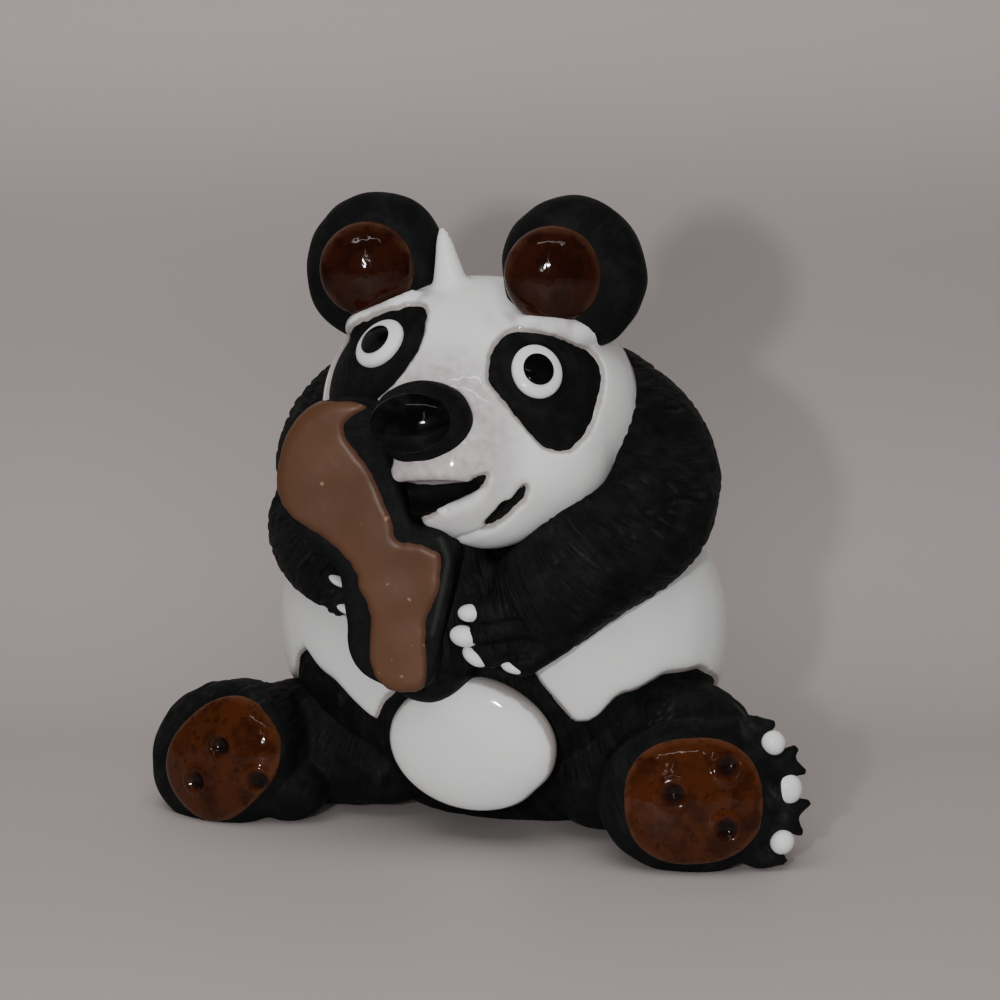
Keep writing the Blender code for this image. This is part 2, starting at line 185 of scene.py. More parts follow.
def head_lump():
    s, h = body_sizes(), head_sizes()
    lift = Vector((-0.01 * s.torso_width, -h.head_forward, h.head_rise))
    return Lump(torso_lump().centre + lift, Vector((h.head_width, h.head_depth, h.head_height)))


def muzzle_lump():
    h = head_sizes()
    shift = Vector((0.055 * h.head_width, -0.35 * h.head_depth, -0.155 * h.head_height))
    return Lump(head_lump().centre + shift, Vector((h.muzzle_width, h.muzzle_depth, h.muzzle_height)))


def inside(lump, across, forward, up):
    """Place in a lump, each share counted from its centre in half sizes."""
    half = lump.size / 2
    return lump.centre + Vector((across * half.x, -forward * half.y, up * half.z))


def skin_place(form, across, up):
    """Place where a straight look from the front at world X and Z meets a form."""
    hit, place, normal, _ = form.ray_cast((across, -1, up), (0, 1, 0))
    if not hit:
        raise RuntimeError("No clay in front of %.4f, %.4f" % (across, up))
    return place, normal


# Making and shaping meshes


def start():
    """Leave edit mode and drop the selection, because an operator acts on all that is selected."""
    if bpy.context.mode != "OBJECT":
        bpy.ops.object.mode_set(mode="OBJECT")
    bpy.ops.object.select_all(action="DESELECT")


def pick(pieces):
    """Select only these pieces, the first one active."""
    start()
    for piece in pieces:
        piece.select_set(True)
    bpy.context.view_layer.objects.active = pieces[0]


def points(piece):
    """Places of a mesh's vertices as rows of an array."""
    flat = np.empty(len(piece.data.vertices) * 3)
    piece.data.vertices.foreach_get("co", flat)
    return flat.reshape(-1, 3)


def outward(piece):
    """Normals of a mesh's vertices as rows of an array."""
    flat = np.empty(len(piece.data.vertices) * 3)
    piece.data.vertices.foreach_get("normal", flat)
    return flat.reshape(-1, 3)


def put(piece, places):
    """Write the places of a mesh's vertices back."""
    piece.data.vertices.foreach_set("co", np.ascontiguousarray(places).ravel())
    piece.data.update()


def apply(piece, kind, **settings):
    """Add one modifier with its settings and apply it."""
    pick([piece])
    modifier = piece.modifiers.new(kind.title(), kind)
    for key, value in settings.items():
        setattr(modifier, key, value)
    bpy.ops.object.modifier_apply(modifier=modifier.name)


def ball(centre, size, turn=(0, 0, 0), square=1.0, rings=26):
    """Ball of clay. A square value under 1 flattens its front and back."""
    start()
    bpy.ops.mesh.primitive_uv_sphere_add(segments=2 * rings, ring_count=rings, radius=1)
    clay = bpy.context.object
    unit = points(clay)
    unit[:, 1] = np.sign(unit[:, 1]) * np.abs(unit[:, 1]) ** square
    spin = np.array(Euler(turn).to_matrix())
    put(clay, (unit * np.array(size) / 2) @ spin.T + np.array(centre))
    return clay


def roll(path, widths):
    """Rounded roll of clay along a smooth path, closed with a ball at each end."""
    curve = bpy.data.curves.new("roll", "CURVE")
    curve.dimensions = "3D"
    curve.bevel_depth = 0.5
    curve.bevel_resolution = 6
    curve.use_fill_caps = True
    spline = curve.splines.new("BEZIER")
    spline.bezier_points.add(len(path) - 1)
    for knot, place, width in zip(spline.bezier_points, path, widths):
        knot.co = place
        knot.radius = width
        knot.handle_left_type = "AUTO"
        knot.handle_right_type = "AUTO"
    holder = bpy.data.objects.new("roll", curve)
    bpy.context.scene.collection.objects.link(holder)
    pick([holder])
    bpy.ops.object.convert(target="MESH")
    ends = [ball(path[0], (widths[0],) * 3, rings=16), ball(path[-1], (widths[-1],) * 3, rings=16)]
    return [holder] + ends


def fuse(lumps, voxel, smooth):
    """Press lumps into one skin and rub its seams smooth."""
    flat = []
    for lump in lumps:
        flat.extend(lump if isinstance(lump, list) else [lump])
    pick(flat)
    if len(flat) > 1:
        bpy.ops.object.join()
    clay = flat[0]
    apply(clay, "REMESH", mode="VOXEL", voxel_size=voxel)
    if smooth:
        apply(clay, "SMOOTH", factor=0.5, iterations=smooth)
    return clay


def copy_of(piece, name):
    """Copy of a piece with a mesh of its own."""
    twin = piece.copy()
    twin.data = piece.data.copy()
    twin.name = name
    bpy.context.scene.collection.objects.link(twin)
    return twin


def drop(piece, doomed):
    """Delete the vertices that an array of truth values names."""
    bm = bmesh.new()
    bm.from_mesh(piece.data)
    bmesh.ops.delete(bm, geom=[vertex for vertex, gone in zip(bm.verts, doomed) if gone], context="VERTS")
    bm.to_mesh(piece.data)
    bm.free()


def note(piece, name, values):
    """Keep one number for each vertex as an attribute that a material reads."""
    layer = piece.data.attributes.get(name) or piece.data.attributes.new(name, "FLOAT", "POINT")
    layer.data.foreach_set("value", np.full(len(piece.data.vertices), values, dtype=np.float32))


# Lines and outlines on a form


def rounded(knots, steps=8, closed=True):
    """Smooth line through a few knots."""
    knots = np.array(knots, dtype=float)
    count = len(knots)
    line = []
    spans = count if closed else count - 1
    for i in range(spans):
        if closed:
            a, b, c, d = (knots[(i + k) % count] for k in (-1, 0, 1, 2))
        else:
            a, b, c, d = (knots[min(max(i + k, 0), count - 1)] for k in (-1, 0, 1, 2))
        for t in np.arange(steps) / steps:
            bend = (2 * a - 5 * b + 4 * c - d) * t ** 2
            twist = (3 * b - a - 3 * c + d) * t ** 3
            line.append((2 * b + (c - a) * t + bend + twist) / 2)
    if not closed:
        line.append(knots[-1])
    return np.array(line)


def gap_to(places, line, closed=True):
    """Distance of each place from a line."""
    best = np.full(len(places), np.inf)
    ends = np.roll(line, -1, axis=0) if closed else line[1:]
    for a, b in zip(line, ends):
        along = b - a
        share = np.clip((places - a) @ along / max(along @ along, 1e-18), 0, 1)
        best = np.minimum(best, np.linalg.norm(places - a - share[:, None] * along, axis=1))
    return best


def within(flat, outline):
    """Truth for each flat place that lies inside a closed outline."""
    inside_it = np.zeros(len(flat), dtype=bool)
    for a, b in zip(outline, np.roll(outline, -1, axis=0)):
        spans = (a[1] > flat[:, 1]) != (b[1] > flat[:, 1])
        rise = b[1] - a[1] if b[1] != a[1] else 1e-12
        cross = a[0] + (flat[:, 1] - a[1]) * (b[0] - a[0]) / rise
        inside_it ^= spans & (flat[:, 0] < cross)
    return inside_it


def ripple(places, pitch, seed):
    """Soft uneven waves between -1 and 1, the same on each run."""
    dice = np.random.default_rng(seed)
    total = np.zeros(len(places))
    for _ in range(7):
        way = dice.normal(size=3)
        way *= dice.uniform(0.6, 1.6) / np.linalg.norm(way)
        total += np.sin(places @ way * (2 * math.pi / pitch) + dice.uniform(0, 2 * math.pi))
    return total / 3.2


def mark_gap(form, knots):
    """Distance from a closed outline drawn on the front of a form, below zero inside it."""
    outline = rounded(knots)
    on_skin = np.array([skin_place(form, x, z)[0] for x, z in outline])
    places = points(form)
    gap = gap_to(places, on_skin)
    middle = on_skin[:, 1].max() + 2 * MM
    hidden = within(places[:, [0, 2]], outline) & (places[:, 1] < middle)
    return np.where(hidden, -gap, gap)


def press_line(form, path, width, depth):
    """Press a rounded groove into a form along a path of places."""
    places = points(form)
    near = gap_to(places, np.array(path), closed=False)
    press = np.cos(np.clip(near / width, 0, 1) * math.pi / 2) ** 2
    put(form, places - outward(form) * (depth * press)[:, None])


def glaze_over(form, name, field, coat, rim, dive=0.5 * MM):
    """Coat of glaze over the part of a form where a field is above zero, rounded at its edge."""
    skin = copy_of(form, name)
    places, ways = points(skin), outward(skin)
    rise = coat * np.sqrt(1 - (1 - np.clip(field / rim, 0, 1)) ** 2)
    rise = np.where(field > 0, rise, np.maximum(field, -dive) * 0.9)
    put(skin, places + ways * rise[:, None])
    note(skin, "edge", np.clip(field, 0, 4 * MM) / MM)
    drop(skin, field < -dive * 1.2)
    apply(skin, "SMOOTH", factor=0.5, iterations=2)
    return skin


def ride_finished(piece, name, look):
    """Name a finished piece, give it its material and slot, and let it ride on the body."""
    start()
    piece.name = name
    piece.data.name = name
    piece.data.materials.clear()
    piece.data.materials.append(material_named(look))
    piece.data.polygons.foreach_set("use_smooth", np.full(len(piece.data.polygons), True))
    piece.data.update()
    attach(piece, BODY)


# Materials


def new_group(name, inputs, outputs):
    """Empty shader node group with named sockets."""
    group = bpy.data.node_groups.new(name, "ShaderNodeTree")
    for socket, kind, default in inputs:
        made = group.interface.new_socket(socket, in_out="INPUT", socket_type=kind)
        made.default_value = default
    for socket, kind in outputs:
        group.interface.new_socket(socket, in_out="OUTPUT", socket_type=kind)
    return group, group.nodes.new("NodeGroupInput"), group.nodes.new("NodeGroupOutput")


class Tree:
    """Short way to add and link shader nodes."""

    def __init__(self, tree):
        self.tree = tree

    def add(self, kind, settings=None, **links):
        node = self.tree.nodes.new(kind)
        for key, value in (settings or {}).items():
            setattr(node, key, value)
        for key, value in links.items():
            self.feed(node.inputs[key.replace("_", " ")], value)
        return node

    def feed(self, socket, value):
        if isinstance(value, bpy.types.NodeSocket):
            self.tree.links.new(value, socket)
        elif socket.type == "RGBA":
            socket.default_value = (*value[:3], 1.0)
        else:
            socket.default_value = value

    def math(self, operation, a, b=0.0, c=0.0):
        node = self.tree.nodes.new("ShaderNodeMath")
        node.operation = operation
        for socket, value in zip(node.inputs, (a, b, c)):
            self.feed(socket, value)
        return node.outputs[0]

    def noise(self, vector, scale, detail=3.0, rough=0.5):
        node = self.tree.nodes.new("ShaderNodeTexNoise")
        self.feed(node.inputs["Vector"], vector)
        self.feed(node.inputs["Scale"], scale)
        self.feed(node.inputs["Detail"], detail)
        self.feed(node.inputs["Roughness"], rough)
        return node.outputs["Fac"]

    def spread(self, value, low, high, out_low=0.0, out_high=1.0):
        node = self.tree.nodes.new("ShaderNodeMapRange")
        node.interpolation_type = "SMOOTHSTEP"
        for key, number in (("Value", value), ("From Min", low), ("From Max", high),
                            ("To Min", out_low), ("To Max", out_high)):
            self.feed(node.inputs[key], number)
        return node.outputs["Result"]

    def noted(self, name):
        """Number that note() kept for each vertex."""
        return self.add("ShaderNodeAttribute", {"attribute_name": name}).outputs["Fac"]

    def bump(self, height, strength, distance, **links):
        """Bumpy normal from a height between 0 and 1."""
        node = self.add("ShaderNodeBump", Height=height, Strength=strength, **links)
        node.inputs["Distance"].default_value = distance
        return node.outputs[0]

    def mix(self, share, a, b):
        node = self.tree.nodes.new("ShaderNodeMix")
        node.data_type = "RGBA"
        sockets = [s for s in node.inputs if s.enabled]
        for socket, value in zip(sockets, (share, a, b)):
            self.feed(socket, value)
        return [s for s in node.outputs if s.enabled][0]


def scored_group():
    """Fine lines scored outwards round the head's middle, as height and as a mask."""
    old = bpy.data.node_groups.get("scored lines")
    if old:
        return old
    group, entry, leave = new_group(
        "scored lines",
        [("Place", "NodeSocketVector", (0, 0, 0)), ("Pitch", "NodeSocketFloat", 0.7),
         ("Run", "NodeSocketFloat", 5.0), ("Amount", "NodeSocketFloat", 1.0)],
        [("Height", "NodeSocketFloat"), ("Dust", "NodeSocketFloat")],
    )
    t = Tree(group)
    head = head_lump().centre
    split = t.add("ShaderNodeSeparateXYZ", Vector=entry.outputs["Place"])
    across = t.math("SUBTRACT", split.outputs["X"], head.x)
    up = t.math("SUBTRACT", split.outputs["Z"], head.z)
    angle = t.math("ARCTAN2", across, up)
    radius = t.math("SQRT", t.math("ADD", t.math("MULTIPLY", across, across), t.math("MULTIPLY", up, up)))
    side = t.math("DIVIDE", t.math("MULTIPLY", angle, 22.0), entry.outputs["Pitch"])
    run = t.math("DIVIDE", t.math("MULTIPLY", radius, 1000.0), entry.outputs["Run"])
    depth = t.math("MULTIPLY", split.outputs["Y"], 160.0)
    lines = t.add("ShaderNodeCombineXYZ", X=side, Y=run, Z=depth)
    streak = t.noise(lines.outputs[0], 1.0, 2.0, 0.6)
    height = t.math("MULTIPLY", t.spread(streak, 0.34, 0.58), entry.outputs["Amount"])
    t.feed(leave.inputs["Height"], height)
    t.feed(leave.inputs["Dust"], t.spread(streak, 0.52, 0.72))
    return group


def blank(name, roughness, specular):
    """New material, the short way to its nodes, its shader and the object's coordinates."""
    material = bpy.data.materials.new(name)
    material.use_nodes = True
    t = Tree(material.node_tree)
    shader = material.node_tree.nodes["Principled BSDF"]
    shader.inputs["Roughness"].default_value = roughness
    shader.inputs["Specular IOR Level"].default_value = specular
    return material, t, shader, t.add("ShaderNodeTexCoord").outputs["Object"]


def clay_material(name, lines):
    """Matte black clay with scored lines, fine grain and grey-green dust."""
    look = finish()
    material, t, shader, place = blank(name, 0.7, 0.15)
    scored = t.add("ShaderNodeGroup", {"node_tree": scored_group()}, Place=place)
    scored.inputs["Pitch"].default_value = 0.75
    scored.inputs["Run"].default_value = 6.0
    scored.inputs["Amount"].default_value = lines
    patches = t.spread(t.noise(place, 150.0, 4.0, 0.6), 0.5, 0.68)
    grain = t.noise(place, 2600.0, 3.0, 0.6)
    dust = t.math("MULTIPLY", scored.outputs["Dust"], patches)
    dust = t.math("MULTIPLY", t.math("MULTIPLY", dust, t.spread(grain, 0.35, 0.6)), lines)
    dust = t.math("ADD", t.math("MULTIPLY", dust, 0.75), t.math("MULTIPLY", t.noted("ridge"), 0.5))
    cloud = t.spread(t.noise(place, 420.0, 3.0, 0.6), 0.4, 0.7, 0.0, 0.5)
    lift = t.mix(cloud, look.clay, CLAY_CLOUD)
    t.feed(shader.inputs["Base Color"], t.mix(dust, lift, look.scuff))
    t.feed(shader.inputs["Roughness"], t.spread(grain, 0.3, 0.7, 0.62, 0.82))
    fine = t.bump(grain, 0.35, 0.06 * MM)
    t.feed(shader.inputs["Normal"], t.bump(scored.outputs["Height"], 0.9, 0.22 * MM, Normal=fine))
    return material


def white_material():
    """Thick glossy white glaze, warm and thin at its edge, with slow waves and a few pits."""
    look = finish()
    material, t, shader, place = blank("white glaze", 0.07, 0.5)
    uneven = t.math("MULTIPLY", t.noise(place, 900.0, 3.0, 0.6), 0.35)
    thin = t.spread(t.math("SUBTRACT", t.noted("edge"), uneven), 0.0, 0.28, 0.85, 0.0)
    cloud = t.spread(t.noise(place, 130.0, 2.0, 0.5), 0.4, 0.75, 0.0, 0.35)
    body = t.mix(cloud, look.white, look.white_cloud)
    # Brownish pink stain laid over the white; round and under the nose it is painted shade as well
    stain_and_shade = t.math("MULTIPLY", t.noted("stain_and_shade"), t.spread(uneven, 0.08, 0.28, 0.5, 1.0))
    body = t.mix(stain_and_shade, body, look.white_stain_and_shade)
    specks = t.spread(t.noise(place, 1900.0, 1.0, 0.5), 0.8, 0.86)
    body = t.mix(specks, body, WHITE_SPECKS)
    t.feed(shader.inputs["Base Color"], t.mix(thin, body, look.white_edge))
    t.feed(shader.inputs["Normal"], t.bump(t.noise(place, 260.0, 2.0, 0.4), 0.25, 0.6 * MM))
    return material


def brown_material(name, base, pale, flecks):
    """Deep brown glaze with dark red flecks and a paler rim where it runs thin."""
    look = finish()
    material, t, shader, place = blank(name, 0.06, 0.2)
    mottle = t.spread(t.noise(place, 320.0, 4.0, 0.65), 0.42, 0.62)
    body = t.mix(mottle, base, [0.55 * channel for channel in base])
    rim = t.spread(t.math("ADD", t.noted("edge"), t.math("MULTIPLY", mottle, 0.3)), 0.1, 0.8, 0.6, 0.0)
    body = t.mix(rim, body, pale)
    fleck = t.math("MULTIPLY", t.spread(t.noise(place, 780.0, 3.0, 0.7), 0.56, 0.64), flecks)
    body = t.mix(fleck, body, look.ember)
    t.feed(shader.inputs["Base Color"], t.mix(t.noted("pit"), body, PIT_DARK))
    t.feed(shader.inputs["Normal"], t.bump(t.noise(place, 500.0, 2.0, 0.5), 0.3, 0.4 * MM))
    return material


def food_material():
    """Satin brown glaze with a few pale specks."""
    look = finish()
    material, t, shader, place = blank("food glaze", 0.42, 0.35)
    cloud = t.spread(t.noise(place, 110.0, 3.0, 0.5), 0.35, 0.7)
    body = t.mix(cloud, look.food, [0.82 * channel for channel in look.food])
    specks = t.spread(t.noise(place, 1300.0, 0.0, 0.5), 0.8, 0.84)
    body = t.mix(specks, body, FOOD_SPECKS)
    body = t.mix(t.spread(t.noted("edge"), 0.0, 0.35, 0.7, 0.0), body, FOOD_EDGE)
    t.feed(shader.inputs["Base Color"], body)
    t.feed(shader.inputs["Normal"], t.bump(t.noise(place, 300.0, 2.0, 0.5), 0.3, 0.4 * MM))
    return material


def ink_material():
    """Glossy black glaze."""
    material, t, shader, place = blank("ink glaze", 0.05, 0.12)
    cloud = t.spread(t.noise(place, 400.0, 3.0, 0.5), 0.4, 0.7)
    t.feed(shader.inputs["Base Color"], t.mix(cloud, finish().ink, INK_CLOUD))
    t.feed(shader.inputs["Normal"], t.bump(t.noise(place, 500.0, 2.0, 0.5), 0.15, 0.3 * MM))
    return material


# Colours inside the materials
CLAY_CLOUD = (0.011, 0.012, 0.0115)
WHITE_SPECKS = (0.3, 0.27, 0.26)
PIT_DARK = (0.006, 0.004, 0.004)
SOLE_PALE = (0.095, 0.036, 0.016)
EAR_PALE = (0.075, 0.032, 0.017)
FOOD_SPECKS = (0.24, 0.13, 0.085)
FOOD_EDGE = (0.07, 0.03, 0.02)
INK_CLOUD = (0.009, 0.008, 0.008)


def material_named(name):
    """Material by name, made on first use."""
    made = bpy.data.materials.get(name)
    if made:
        return made
    look = finish()
    makers = {
        "furred clay": lambda: clay_material("furred clay", 0.6),
        "smooth clay": lambda: clay_material("smooth clay", 0.1),
        "white glaze": white_material,
        "sole glaze": lambda: brown_material("sole glaze", look.amber, SOLE_PALE, 0.6),
        "ear glaze": lambda: brown_material("ear glaze", look.ear_brown, EAR_PALE, 0.4),
        "food glaze": food_material,
        "ink glaze": ink_material,
    }
    return makers[name]()


# Edge value of a bead that has no thin rim
THICK = 2.0


# Forms shared by several pieces


FORMS = {}


def kept(name, maker):
    """Form that is made once and copied where it is needed."""
    if name not in FORMS:
        form = maker()
        form.name = name
        FORMS[name] = form
    return FORMS[name]


def head_form():
    """Skull, cheeks, chin and muzzle in one skin, with the mouth and the smile pressed in."""
    h = head_sizes()
    head, muzzle = head_lump(), muzzle_lump()
    skull_size = (h.head_width, h.head_depth, 0.944 * h.head_height)
    skull = ball(inside(head, 0, 0, -0.056), skull_size, rings=40)
    snout = ball(muzzle.centre, muzzle.size, rings=32)
    cheek_size = (0.785 * h.head_width, 0.66 * h.head_depth, 0.58 * h.head_height)
    cheeks = ball(inside(head, 0.165, 0.36, -0.31), cheek_size, rings=32)
    chin_size = (0.85 * h.muzzle_width, 0.7 * h.muzzle_depth, 0.58 * h.muzzle_height)
    chin = ball(inside(muzzle, 0.25, -0.2, -0.57), chin_size, rings=32)
    form = fuse([skull, snout, cheeks, chin], ROUGH_VOXEL, 22)
    extra = roll([inside(head, *spot) for spot in TUFT], [width * MM for width in TUFT_WIDTHS])
    for lip in (RIGHT_LIP, LEFT_LIP):
        extra += roll([Vector(spot) * MM for spot in lip], [width * MM for width in LIP_WIDTHS])
    form = fuse([form] + extra, BODY_VOXEL, 5)
    put(form, points(form) - outward(form) * finish().coat * 0.8)
    mouth = ball(inside(muzzle, -0.2, 0.84, -0.32), MOUTH_CUT, (0, math.radians(MOUTH_TILT), 0), rings=32)
    pick([form])
    knife = form.modifiers.new("Mouth", "BOOLEAN")
    knife.operation = "DIFFERENCE"
    knife.solver = "EXACT"
    knife.object = mouth
    bpy.ops.object.modifier_apply(modifier=knife.name)
    bpy.data.objects.remove(mouth)
    form = fuse([form], FINE_VOXEL, 3)
    smile = [skin_place(form, x * MM, z * MM)[0] for x, z in rounded(SMILE_LINE, 4, closed=False)]
    press_line(form, smile, 0.8 * MM, 0.5 * MM)
    return form


# Grain of the skins while lumps are fused
ROUGH_VOXEL = 0.6 * MM
BODY_VOXEL = 0.35 * MM
SKIN_VOXEL = 0.34 * MM
FINE_VOXEL = 0.3 * MM
FOOD_VOXEL = 0.25 * MM

# Size and tilt of what is cut out for the open mouth
MOUTH_CUT = (13.5 * MM, 7.5 * MM, 3.6 * MM)
MOUTH_TILT = -8

# Outlines on the head in millimetres, seen straight from the front
RIGHT_PATCH = [(-2.9, 53.2), (-5.6, 53.4), (-9.1, 52.2), (-11.9, 50.7), (-13.7, 48.6), (-13.9, 46.4),
               (-13.3, 43.6), (-10.0, 43.2), (-5.5, 45.3), (-3.0, 48.0), (-2.0, 50.5)]
LEFT_PATCH = [(6.0, 51.4), (8.5, 51.4), (10.4, 50.8), (12.4, 49.2), (13.6, 46.9), (13.6, 43.8),
              (12.8, 41.0), (11.3, 40.6), (9.6, 41.8), (7.5, 44.3), (6.2, 45.9), (5.2, 47.2), (5.0, 49.8)]
# Thick lips of glaze in front of the ears' lower rims, in millimetres
RIGHT_LIP = [(-12.7, -6.3, 49.7), (-11.2, -9.9, 51.3), (-8.9, -10.8, 52.1), (-6.9, -10.9, 53.1),
             (-5.4, -9.8, 54.3)]
LEFT_LIP = [(4.6, -11.4, 50.9), (6.9, -11.2, 51.8), (9.5, -10.6, 51.9), (11.4, -9.2, 51.4),
            (12.9, -6.9, 51.0)]
LIP_WIDTHS = (1.6, 2.5, 2.6, 2.3, 1.5)
# Tuft of fur in the head's shares, with its widths in millimetres
TUFT_WIDTHS = (3.4, 2.0, 0.8)
TUFT = [(-0.11, 0.25, 0.84), (-0.15, 0.23, 1.08), (-0.196, 0.2, 1.27)]
# Dark mouth and corner of the smile
MOUTH = [(-2.7, 39.9), (-3.1, 38.6), (-1.9, 37.4), (0.6, 37.2), (4.0, 37.9), (6.3, 38.8), (5.7, 37.5),
         (3.2, 35.9), (1.2, 34.9), (-0.3, 34.2), (-0.2, 33.2), (0.6, 32.2), (-1.0, 31.6), (-5.0, 32.5),
         (-7.5, 35.5), (-7.5, 38.6), (-5.0, 40.6)]
SMILE = [(9.1, 37.6), (8.2, 36.9), (6.7, 35.4), (5.0, 33.5), (5.7, 33.5), (7.4, 34.8), (8.8, 36.3)]
SMILE_LINE = [(8.8, 37.3), (6.8, 34.6), (5.2, 33.3), (2.8, 32.3)]


# Arms from shoulder to wrist in shares of the fur ring, with their thickness as shares of the arm's
LEFT_ARM = [(0.76, 0.1, 0.09, 0.87), (0.79, 0.54, -0.08, 0.84), (0.64, 0.92, -0.25, 0.83),
            (0.5, 1.08, -0.42, 0.77)]
RIGHT_ARM = [(-0.6, 0.1, 0.0, 0.9), (-0.645, 0.46, -0.19, 0.87), (-0.53, 0.86, -0.3, 0.73),
             (-0.43, 1.08, -0.34, 0.64)]
# Fingers: the wrist they start at, then each tip with its lean, width and height in millimetres
LEFT_WRIST = (0.62, 1.05, -0.55)
LEFT_TIPS = [(0.25, 1.45, -0.5, 0, 2.4, 1.7), (0.225, 1.45, -0.63, 8, 2.9, 2.1),
             (0.26, 1.4, -0.745, 32, 2.8, 1.7), (0.41, 1.33, -0.8, 12, 2.7, 1.3)]
RIGHT_WRIST = (-0.62, 0.95, -0.3)
RIGHT_TIPS = [(-0.4, 1.36, -0.155, 38, 2.0, 1.0), (-0.35, 1.36, -0.385, 32, 2.2, 1.0),
              (-0.315, 1.35, -0.545, 22, 2.2, 1.0)]
FINGER_LINES = [[(3.0, 24.0), (6.0, 24.0), (9.4, 24.7)], [(4.2, 21.9), (6.4, 22.1), (9.0, 22.5)],
                [(6.2, 20.3), (8.0, 20.9), (10.0, 21.2)]]


def torso_egg(rings):
    """Egg of a torso, lifted off the table in front of the seat."""
    s = body_sizes()
    torso = torso_lump()
    egg = ball(torso.centre - Vector((s.egg_lean, 0, 0)), torso.size, rings=rings)
    places = points(egg)
    front = np.clip((s.seat_front - places[:, 1]) / (0.25 * s.torso_depth), 0, 1)
    low = np.clip(1 - places[:, 2] / (0.24 * s.torso_height), 0, 1)
    places[:, 2] += s.seat_lift * front * low
    put(egg, places)
    return egg


def arm(knots):
    ring, thick = ring_lump(), body_sizes().arm_width
    return roll([inside(ring, *knot[:3]) for knot in knots], [knot[3] * thick for knot in knots])


def fingers(wrist, tips):
    """Rolls of clay from a wrist to each finger's tip."""
    ring, width = ring_lump(), body_sizes().finger_width
    base = inside(ring, *wrist)
    clay = []
    for tip in tips:
        end = inside(ring, *tip[:3])
        clay += roll([base.lerp(end, 0.35), base.lerp(end, 0.85)], [width, 0.85 * width])
    return clay


def upper_clay():
    """Torso, fur ring, arms and hands in one skin."""
    s = body_sizes()
    torso, ring = torso_lump(), ring_lump()
    collar = ball(inside(ring, 0, 0, 0.09), (s.ring_width, s.ring_depth, 0.91 * s.ring_height), rings=40)
    tail = ball(inside(torso, 0, -0.95, -0.5), (s.tail_width, 0.9 * s.tail_width, 0.9 * s.tail_width))
    held_size = (0.24 * s.torso_width, 0.26 * s.torso_depth, 0.3 * s.torso_height)
    held = ball(inside(torso, -0.08, 1.08, 0.08), held_size)
    grip_size = (0.28 * s.ring_width, 0.28 * s.ring_depth, 0.42 * s.ring_height)
    grip = ball(inside(ring, 0, 1.16, -0.4), grip_size)
    form = fuse([torso_egg(40), collar, tail, held, grip, arm(LEFT_ARM), arm(RIGHT_ARM)], ROUGH_VOXEL, 10)
    hands = [fingers(LEFT_WRIST, LEFT_TIPS), fingers(RIGHT_WRIST, RIGHT_TIPS)]
    return fuse([form] + hands, SKIN_VOXEL, 3)


Foot = namedtuple("Foot", "name side across drop lean yaw claw_front claws hooks pad pits")
Pad = namedtuple("Pad", "aside rise turn width height")
# A foot's claws, hooks and pad are in shares of its width and height. The pits are in shares of the pad's
# half width and height, seen from the front.
FEET = [
    Foot(
        name="left", side=1, across=1.01, drop=-0.61, lean=-4, yaw=20, claw_front=0.1,
        claws=(0.53, 0.5, 0.54), hooks=(0.5, 0.595), pad=Pad(0, 0, 0, 0.72, 0.8),
        pits=[(-0.29, 0.17), (0.53, 0.53), (0.44, -0.44)],
    ),
    Foot(
        name="right", side=-1, across=1.125, drop=-0.635, lean=-24, yaw=-8, claw_front=-0.14,
        claws=(0.485, 0.46, 0.485), hooks=(0.45, 0.545), pad=Pad(0.085, -0.04, -20, 0.76, 0.73),
        pits=[(0.2, 0.19), (-0.41, -0.24), (0.54, -0.62)],
    ),
]
FOOT_TILT = -6
FOOT_SQUARE = 0.55
CLAW_ANGLES = (34, 2, -33)
CLAW_SIZES = ((2.3, 2.4, 2.5), (2.8, 2.4, 3.1), (2.3, 2.4, 2.5))
RIGHT_HEEL = (9 * MM, 8.4 * MM, 7.4 * MM)
TOE_SPREAD = 15


def foot_place(foot):
    """Middle of a foot and how it is turned."""
    centre = inside(torso_lump(), foot.side * foot.across, 0.72, foot.drop)
    return centre, Euler((math.radians(FOOT_TILT), math.radians(foot.lean), math.radians(foot.yaw)))


def rim_place(foot, angle, share, forward):
    """Place on a foot's outer rim at an angle above its middle."""
    s = body_sizes()
    centre, turn = foot_place(foot)
    a = math.radians(angle)
    spot = Vector((
        foot.side * share * s.foot_width * math.cos(a), -forward * s.foot_width,
        (share + 0.04) * s.foot_height * math.sin(a),
    ))
    return centre + turn.to_matrix() @ spot


def foot_clay(foot):
    """Foot disc with a hook of clay above and below each claw."""
    s = body_sizes()
    centre, turn = foot_place(foot)
    clay = [ball(centre, (s.foot_width, s.foot_thickness, s.foot_height), turn, FOOT_SQUARE, rings=36)]
    for angle in CLAW_ANGLES:
        for way in (-1, 1):
            path = [
                rim_place(foot, angle + way * TOE_SPREAD, 0.33, foot.claw_front - 0.1),
                rim_place(foot, angle + way * 0.95 * TOE_SPREAD, foot.hooks[0], foot.claw_front - 0.03),
                rim_place(foot, angle + way * 0.62 * TOE_SPREAD, foot.hooks[1], foot.claw_front),
            ]
            clay += roll(path, [share * s.toe_width for share in (0.95, 0.75, 0.3)])
    return clay


def leg_clay(side, across, up, ankle_up):
    """Short thick leg from the hip to the foot."""
    torso, width = torso_lump(), body_sizes().leg_width
    path = [inside(torso, side * 0.5 * across, 0.3, -0.58), inside(torso, side * 0.84 * across, 0.36, up),
            inside(torso, side * across, 0.52, ankle_up)]
    return roll(path, [width, width, 0.85 * width])


